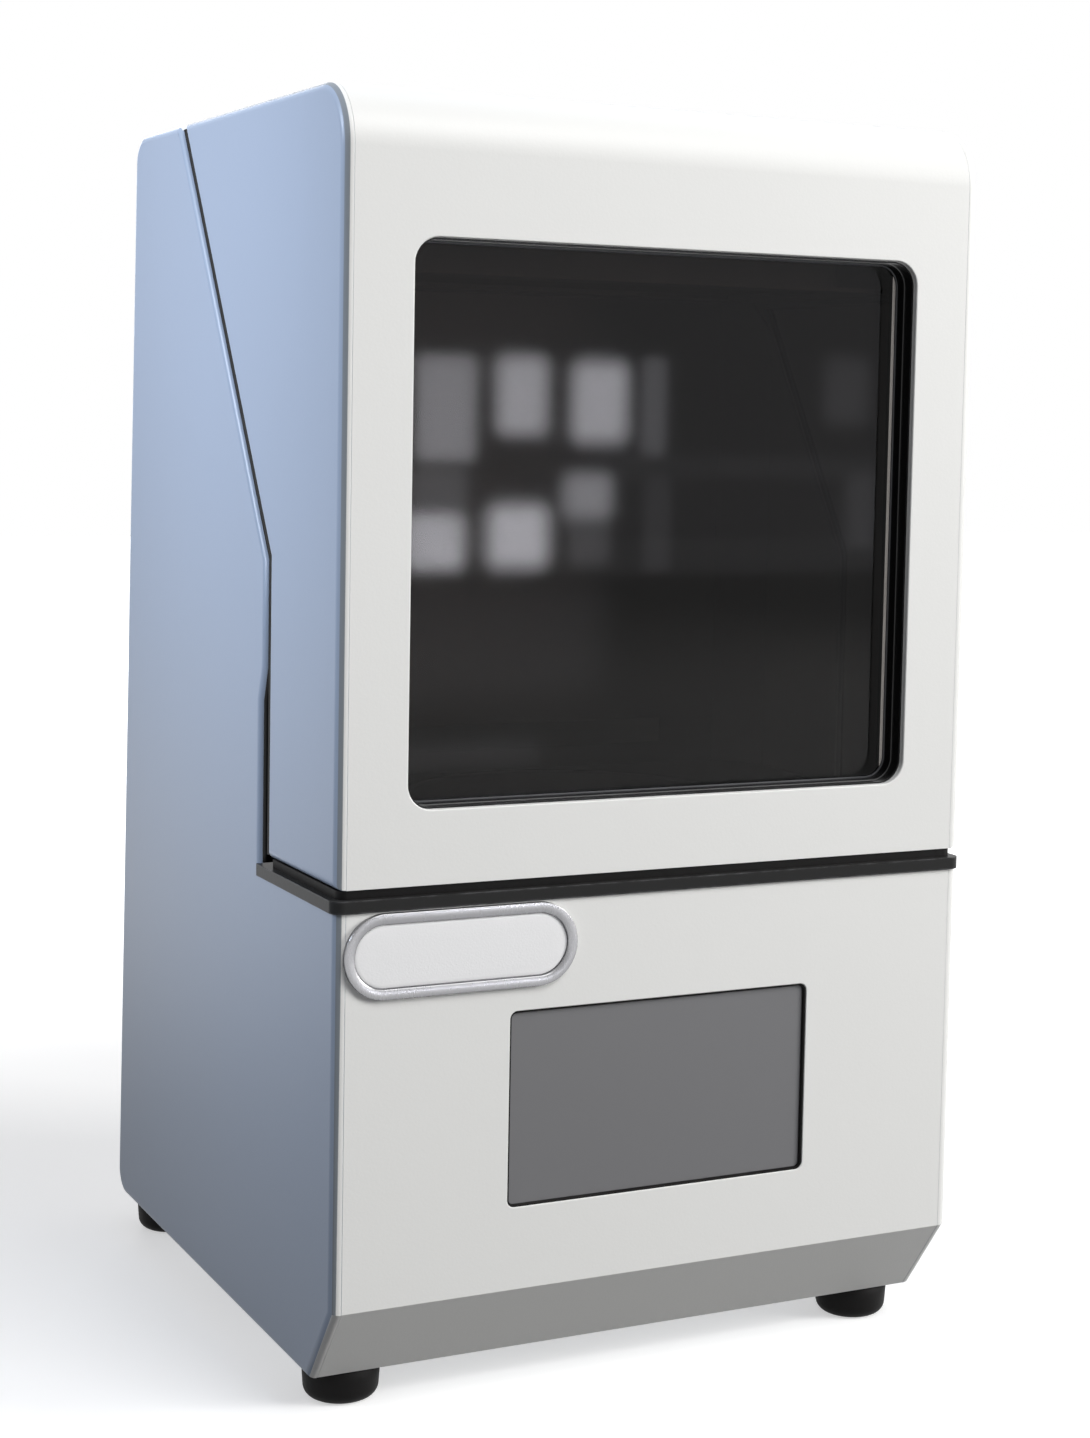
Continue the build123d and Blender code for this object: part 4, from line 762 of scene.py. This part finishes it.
def setScrews(name, body, spots, facing, radius, height):
    work = bmesh.new()
    for spot in spots:
        addScrewHead(work, Vector(spot), Vector(facing), radius * mm, height * mm)
    bmesh.ops.recalc_face_normals(work, faces=work.faces)
    addPiece(work, name, body, "steel_pin", smoothAngle=35)


backScrews = {"across": 101.0, "heights": (-190.0, -95.0, 5.0, 95.0, 150.0), "radius": 2.8, "height": 1.6}
fanScrews = {"pitch": 71.5, "radius": 3.0, "height": 1.7}
panScrews = {"across": 104.3, "depths": (-50.0, 20.0, 70.0), "radius": 2.4, "height": 1.2}
retainerScrews = {"radius": 1.9, "height": 1.0, "inset": 3.2, "rows": 3}


def backSpot(across, up, panelFace):
    spot = fanCentre + Vector((across, 0, 0)) * mm + upBack * up * mm
    return spot + outwards * (panelFace - (spot - fanCentre).dot(outwards))


def setAllScrews():
    panel = nodes["rear_panel"].data.vertices
    panelFace = max((v.co - fanCentre).dot(outwards) for v in panel)
    across, heights = backScrews["across"], backScrews["heights"]
    spots = [backSpot(side * across, up, panelFace) for side in (-1, 1) for up in heights]
    setScrews("back_screws", "body", spots, outwards, backScrews["radius"], backScrews["height"])
    half = fanScrews["pitch"] / 2
    spots = [backSpot(x * half, up * half, panelFace) for x in (-1, 1) for up in (-1, 1)]
    setScrews("fan_screws", "body", spots, outwards, fanScrews["radius"], fanScrews["height"])
    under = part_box("bottom_plate")[0][2]
    across = panScrews["across"] * mm
    spots = [Vector((x * across, y * mm, under)) for x in (-1, 1) for y in panScrews["depths"]]
    setScrews("pan_screws", "body", spots, (0, 0, -1), panScrews["radius"], panScrews["height"])
    low, high = (Vector(corner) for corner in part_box("pane_retainer"))
    inset, rows = retainerScrews["inset"] * mm, retainerScrews["rows"]
    steps = [low.z + inset + (high.z - low.z - 2 * inset) * k / (rows - 1) for k in range(rows)]
    spots = [Vector((x, high.y, z)) for x in (low.x + inset, high.x - inset) for z in steps]
    spots += [Vector((0, high.y, z)) for z in (steps[0], steps[-1])]
    setScrews("retainer_screws", "hood", spots, (0, 1, 0), retainerScrews["radius"], retainerScrews["height"])


setAllScrews()
print("screws set")

# raised line and ring on the power rocker's two faces
rockerMarks = {"reach": 3.95, "crown": 6.1, "tilt": 8.0, "slope": 15.56, "lineWidth": 0.6, "lineHeight": 3.2,
               "ringRadius": 1.5, "ringWidth": 0.55, "proud": 0.15}


# a mark's own frame: X along the rocker's width, Y up its slanted face, Z out of it
def rockerPlace(p, side):
    pivot = Vector(joints["rocker_tilt"]["pos_m"])
    turn = radians(p["tilt"])
    along = side * p["reach"] * cos(turn) - p["crown"] * sin(turn)
    out = side * p["reach"] * sin(turn) + p["crown"] * cos(turn)
    lean = turn + side * radians(p["slope"])
    faceUp = upBack * cos(lean) + outwards * sin(lean)
    faceOut = outwards * cos(lean) - upBack * sin(lean)
    axes = Matrix((faceUp.cross(faceOut), faceUp, faceOut)).transposed().to_4x4()
    return Matrix.Translation(pivot + (upBack * along + outwards * out) * mm) @ axes


def makeRockerMarks(p):
    work = bmesh.new()
    line = bmesh.ops.create_cube(work, size=mm)["verts"]
    bmesh.ops.scale(work, verts=line, vec=(p["lineWidth"], p["lineHeight"], 2 * p["proud"]))
    bmesh.ops.transform(work, verts=line, matrix=rockerPlace(p, 1))
    rings = []
    outer, inner = p["ringRadius"], p["ringRadius"] - p["ringWidth"]
    for radius, height in ((outer, 0), (outer, 1), (inner, 1), (inner, 0)):
        ring = bmesh.ops.create_circle(work, cap_ends=False, segments=32, radius=radius * mm)["verts"]
        bmesh.ops.translate(work, verts=ring, vec=(0, 0, height * p["proud"] * mm))
        rings.append(ring)
    edges = [list({e for v in ring for e in v.link_edges}) for ring in rings]
    for ring, following in zip(edges, edges[1:] + edges[:1]):
        bmesh.ops.bridge_loops(work, edges=ring + following)
    bmesh.ops.transform(work, verts=[v for ring in rings for v in ring], matrix=rockerPlace(p, -1))
    bmesh.ops.recalc_face_normals(work, faces=work.faces)
    addPiece(work, "rocker_marks", "rocker", "shell_white")


makeRockerMarks(rockerMarks)
print("rocker marked")


# the floor glows for the rays that show it, so it stays pale, and keeps the object's shadow; its glow is
# weaker near the object, a painted shade round it, and bounced rays see a darker copy, painted shade for the
# object's underside
studioFloor = {"colour": "D8D8D8", "bouncedShadeColour": "404040", "reach": 5.0, "nearGlow": 0.50, "farGlow": 1.0,
               "nearRing": 0.22, "farRing": 0.85}


def raysThatShow(tree):
    path = addNode(tree, "LightPath").outputs
    seen = doMath(tree, "MAXIMUM", path["Is Camera Ray"], path["Is Glossy Ray"])
    return doMath(tree, "MAXIMUM", seen, path["Is Transmission Ray"])


def layFloor(p):
    work = bmesh.new()
    bmesh.ops.create_grid(work, x_segments=2, y_segments=2, size=p["reach"])
    mesh = bpy.data.meshes.new("studioFloor")
    work.to_mesh(mesh)
    work.free()
    material, tree, shader = newFinish("studioFloor")
    place = addNode(tree, "TexCoord").outputs["Object"]
    away = doVector(tree, "LENGTH", [place], "Value")
    seen = raysThatShow(tree)
    tree.links.new(mixColour(tree, seen, paint(p["bouncedShadeColour"]), paint(p["colour"])), shader.inputs["Base Color"])
    # painted shade: the glow fades towards the object
    glow = spread(tree, away, p["nearRing"], p["farRing"], p["nearGlow"], p["farGlow"])
    setPlain(shader, {"Roughness": 0.9, "Specular IOR Level": 0.0, "Emission Color": (1, 1, 1, 1)})
    tree.links.new(doMath(tree, "MULTIPLY", glow, seen), shader.inputs["Emission Strength"])
    mesh.materials.append(material)
    floor = bpy.data.objects.new("studioFloor", mesh)
    bpy.context.scene.collection.objects.link(floor)


studioAir = {"colour": "F6F8FF", "fill": 0.30}


def lightAir(p):
    world = bpy.data.worlds.new("studioAir")
    bpy.context.scene.world = world
    world.use_nodes = True
    tree = world.node_tree
    background = tree.nodes["Background"]
    seen = raysThatShow(tree)
    tree.links.new(mixColour(tree, seen, paint(p["colour"], p["fill"]), (1, 1, 1, 1)),
                   background.inputs["Color"])


lamps = {
    "topSoftbox": {"place": (0.5, -1.5, 1.9), "aim": (0, -0.1, 0.25), "side": 1.0, "power": 27.5,
                   "colour": "FFFFFF", "spread": 180},
    "frontSoftbox": {"place": (2.3, -1.6, 1.0), "aim": (0, -0.1, 0.2), "side": 1.0, "power": 62.0,
                     "colour": "FFFEFB", "spread": 180},
    "leftSoftbox": {"place": (-1.5, 0.3, 0.95), "aim": (-0.11, 0.0, 0.39), "side": 0.3, "power": 0.64,
                    "colour": "E4EEFF", "spread": 22},
    "backSoftbox": {"place": (0.4, 2.2, 0.8), "aim": (0, 0.1, 0.2), "side": 1.0, "power": 12.0,
                    "colour": "FFFFFF", "spread": 180},
}


def addLamp(name, size, power, colour):
    data = bpy.data.lights.new(name, "AREA")
    data.shape = "RECTANGLE"
    data.size, data.size_y = size
    data.energy = power
    data.color = paint(colour)[:3]
    lamp = bpy.data.objects.new(name, data)
    bpy.context.scene.collection.objects.link(lamp)
    return lamp


def hangLamp(name, p):
    lamp = addLamp(name, (p["side"], p["side"]), p["power"], p["colour"])
    lamp.data.spread = radians(p["spread"])
    lamp.location = p["place"]
    lamp.rotation_euler = (Vector(p["aim"]) - Vector(p["place"])).to_track_quat("-Z", "Y").to_euler()


# the dim room that the window of the hood mirrors, as soft patches on the window's plane in mm:
# middle (x, z), width and height, brightness and width of the soft edge
roomMirrored = {"plane": -105.8, "middle": (2.0, 285.0), "size": (200.0, 196.0), "reach": 2.5,
                "colour": "F6F6FF", "patches": [
                    ((0, 335), (300, 142), 0.75, 4), ((-58, 244), (80, 34), 0.7, 16),
                    ((-74, 315.6), (20, 32), 14.5, 6), ((-48.3, 320), (17, 24), 23, 8),
                    ((-21.3, 318.5), (19, 25), 24, 9), ((-2, 317.5), (9, 31), 4.5, 5),
                    ((-76, 291), (19, 12), 4, 5), ((-77, 274.7), (19, 17), 29, 7),
                    ((-49, 276.2), (20, 19), 31, 9), ((-25, 289), (17, 14), 15, 8),
                    ((-24, 274), (14, 14), 3.0, 6), ((70, 324), (17, 22), 1.6, 8),
                    ((77, 284), (12, 24), 1.6, 7), ((38, 298.5), (106, 7), 0.45, 3),
                    ((0, 280), (10, 30), 1.2, 4), ((-64, 208.5), (46, 8), 0.9, 5)]}


# how bright the room is at a spot: each patch is full inside and fades out over its soft edge
def patchGlow(tree, spot, middle, size, bright, soft):
    inner = [max((side - soft) / 2, 0) for side in size]
    offset = doVector(tree, "ABSOLUTE", [doVector(tree, "SUBTRACT", [spot, (*middle, 0)])])
    beyond = doVector(tree, "SUBTRACT", [offset, (*inner, 0)])
    away = doVector(tree, "LENGTH", [doVector(tree, "MAXIMUM", [beyond, (0, 0, 0)])], "Value")
    return spread(tree, away, 0, soft, bright, 0)


def mirrorRoom(p):
    size = [side * p["reach"] * mm for side in p["size"]]
    lamp = addLamp("roomMirrored", size, pi * size[0] * size[1], p["colour"])
    lamp.data.use_nodes = True
    tree = lamp.data.node_tree
    share = addNode(tree, "NewGeometry").outputs["Parametric"]
    corner = [at - side / 2 for at, side in zip(p["middle"], p["size"])]
    spot = doVector(tree, "MULTIPLY_ADD", [share, (*p["size"], 0), (*corner, 0)])
    total = 0.0
    for patch in p["patches"]:
        total = doMath(tree, "ADD", patchGlow(tree, spot, *patch), total)
    tree.links.new(total, tree.nodes["Emission"].inputs["Strength"])
    mirrored = Vector(viewpoint["place"])
    mirrored.y = 2 * p["plane"] * mm - mirrored.y
    onWindow = Vector((p["middle"][0], p["plane"], p["middle"][1])) * mm
    lamp.location = mirrored + (onWindow - mirrored) * p["reach"]
    lamp.rotation_euler = (pi / 2, 0, 0)
    lamp.visible_diffuse = False
    lamp.visible_camera = False


layFloor(studioFloor)
lightAir(studioAir)
for name, p in lamps.items():
    hangLamp(name, p)
mirrorRoom(roomMirrored)
print("stage lit")
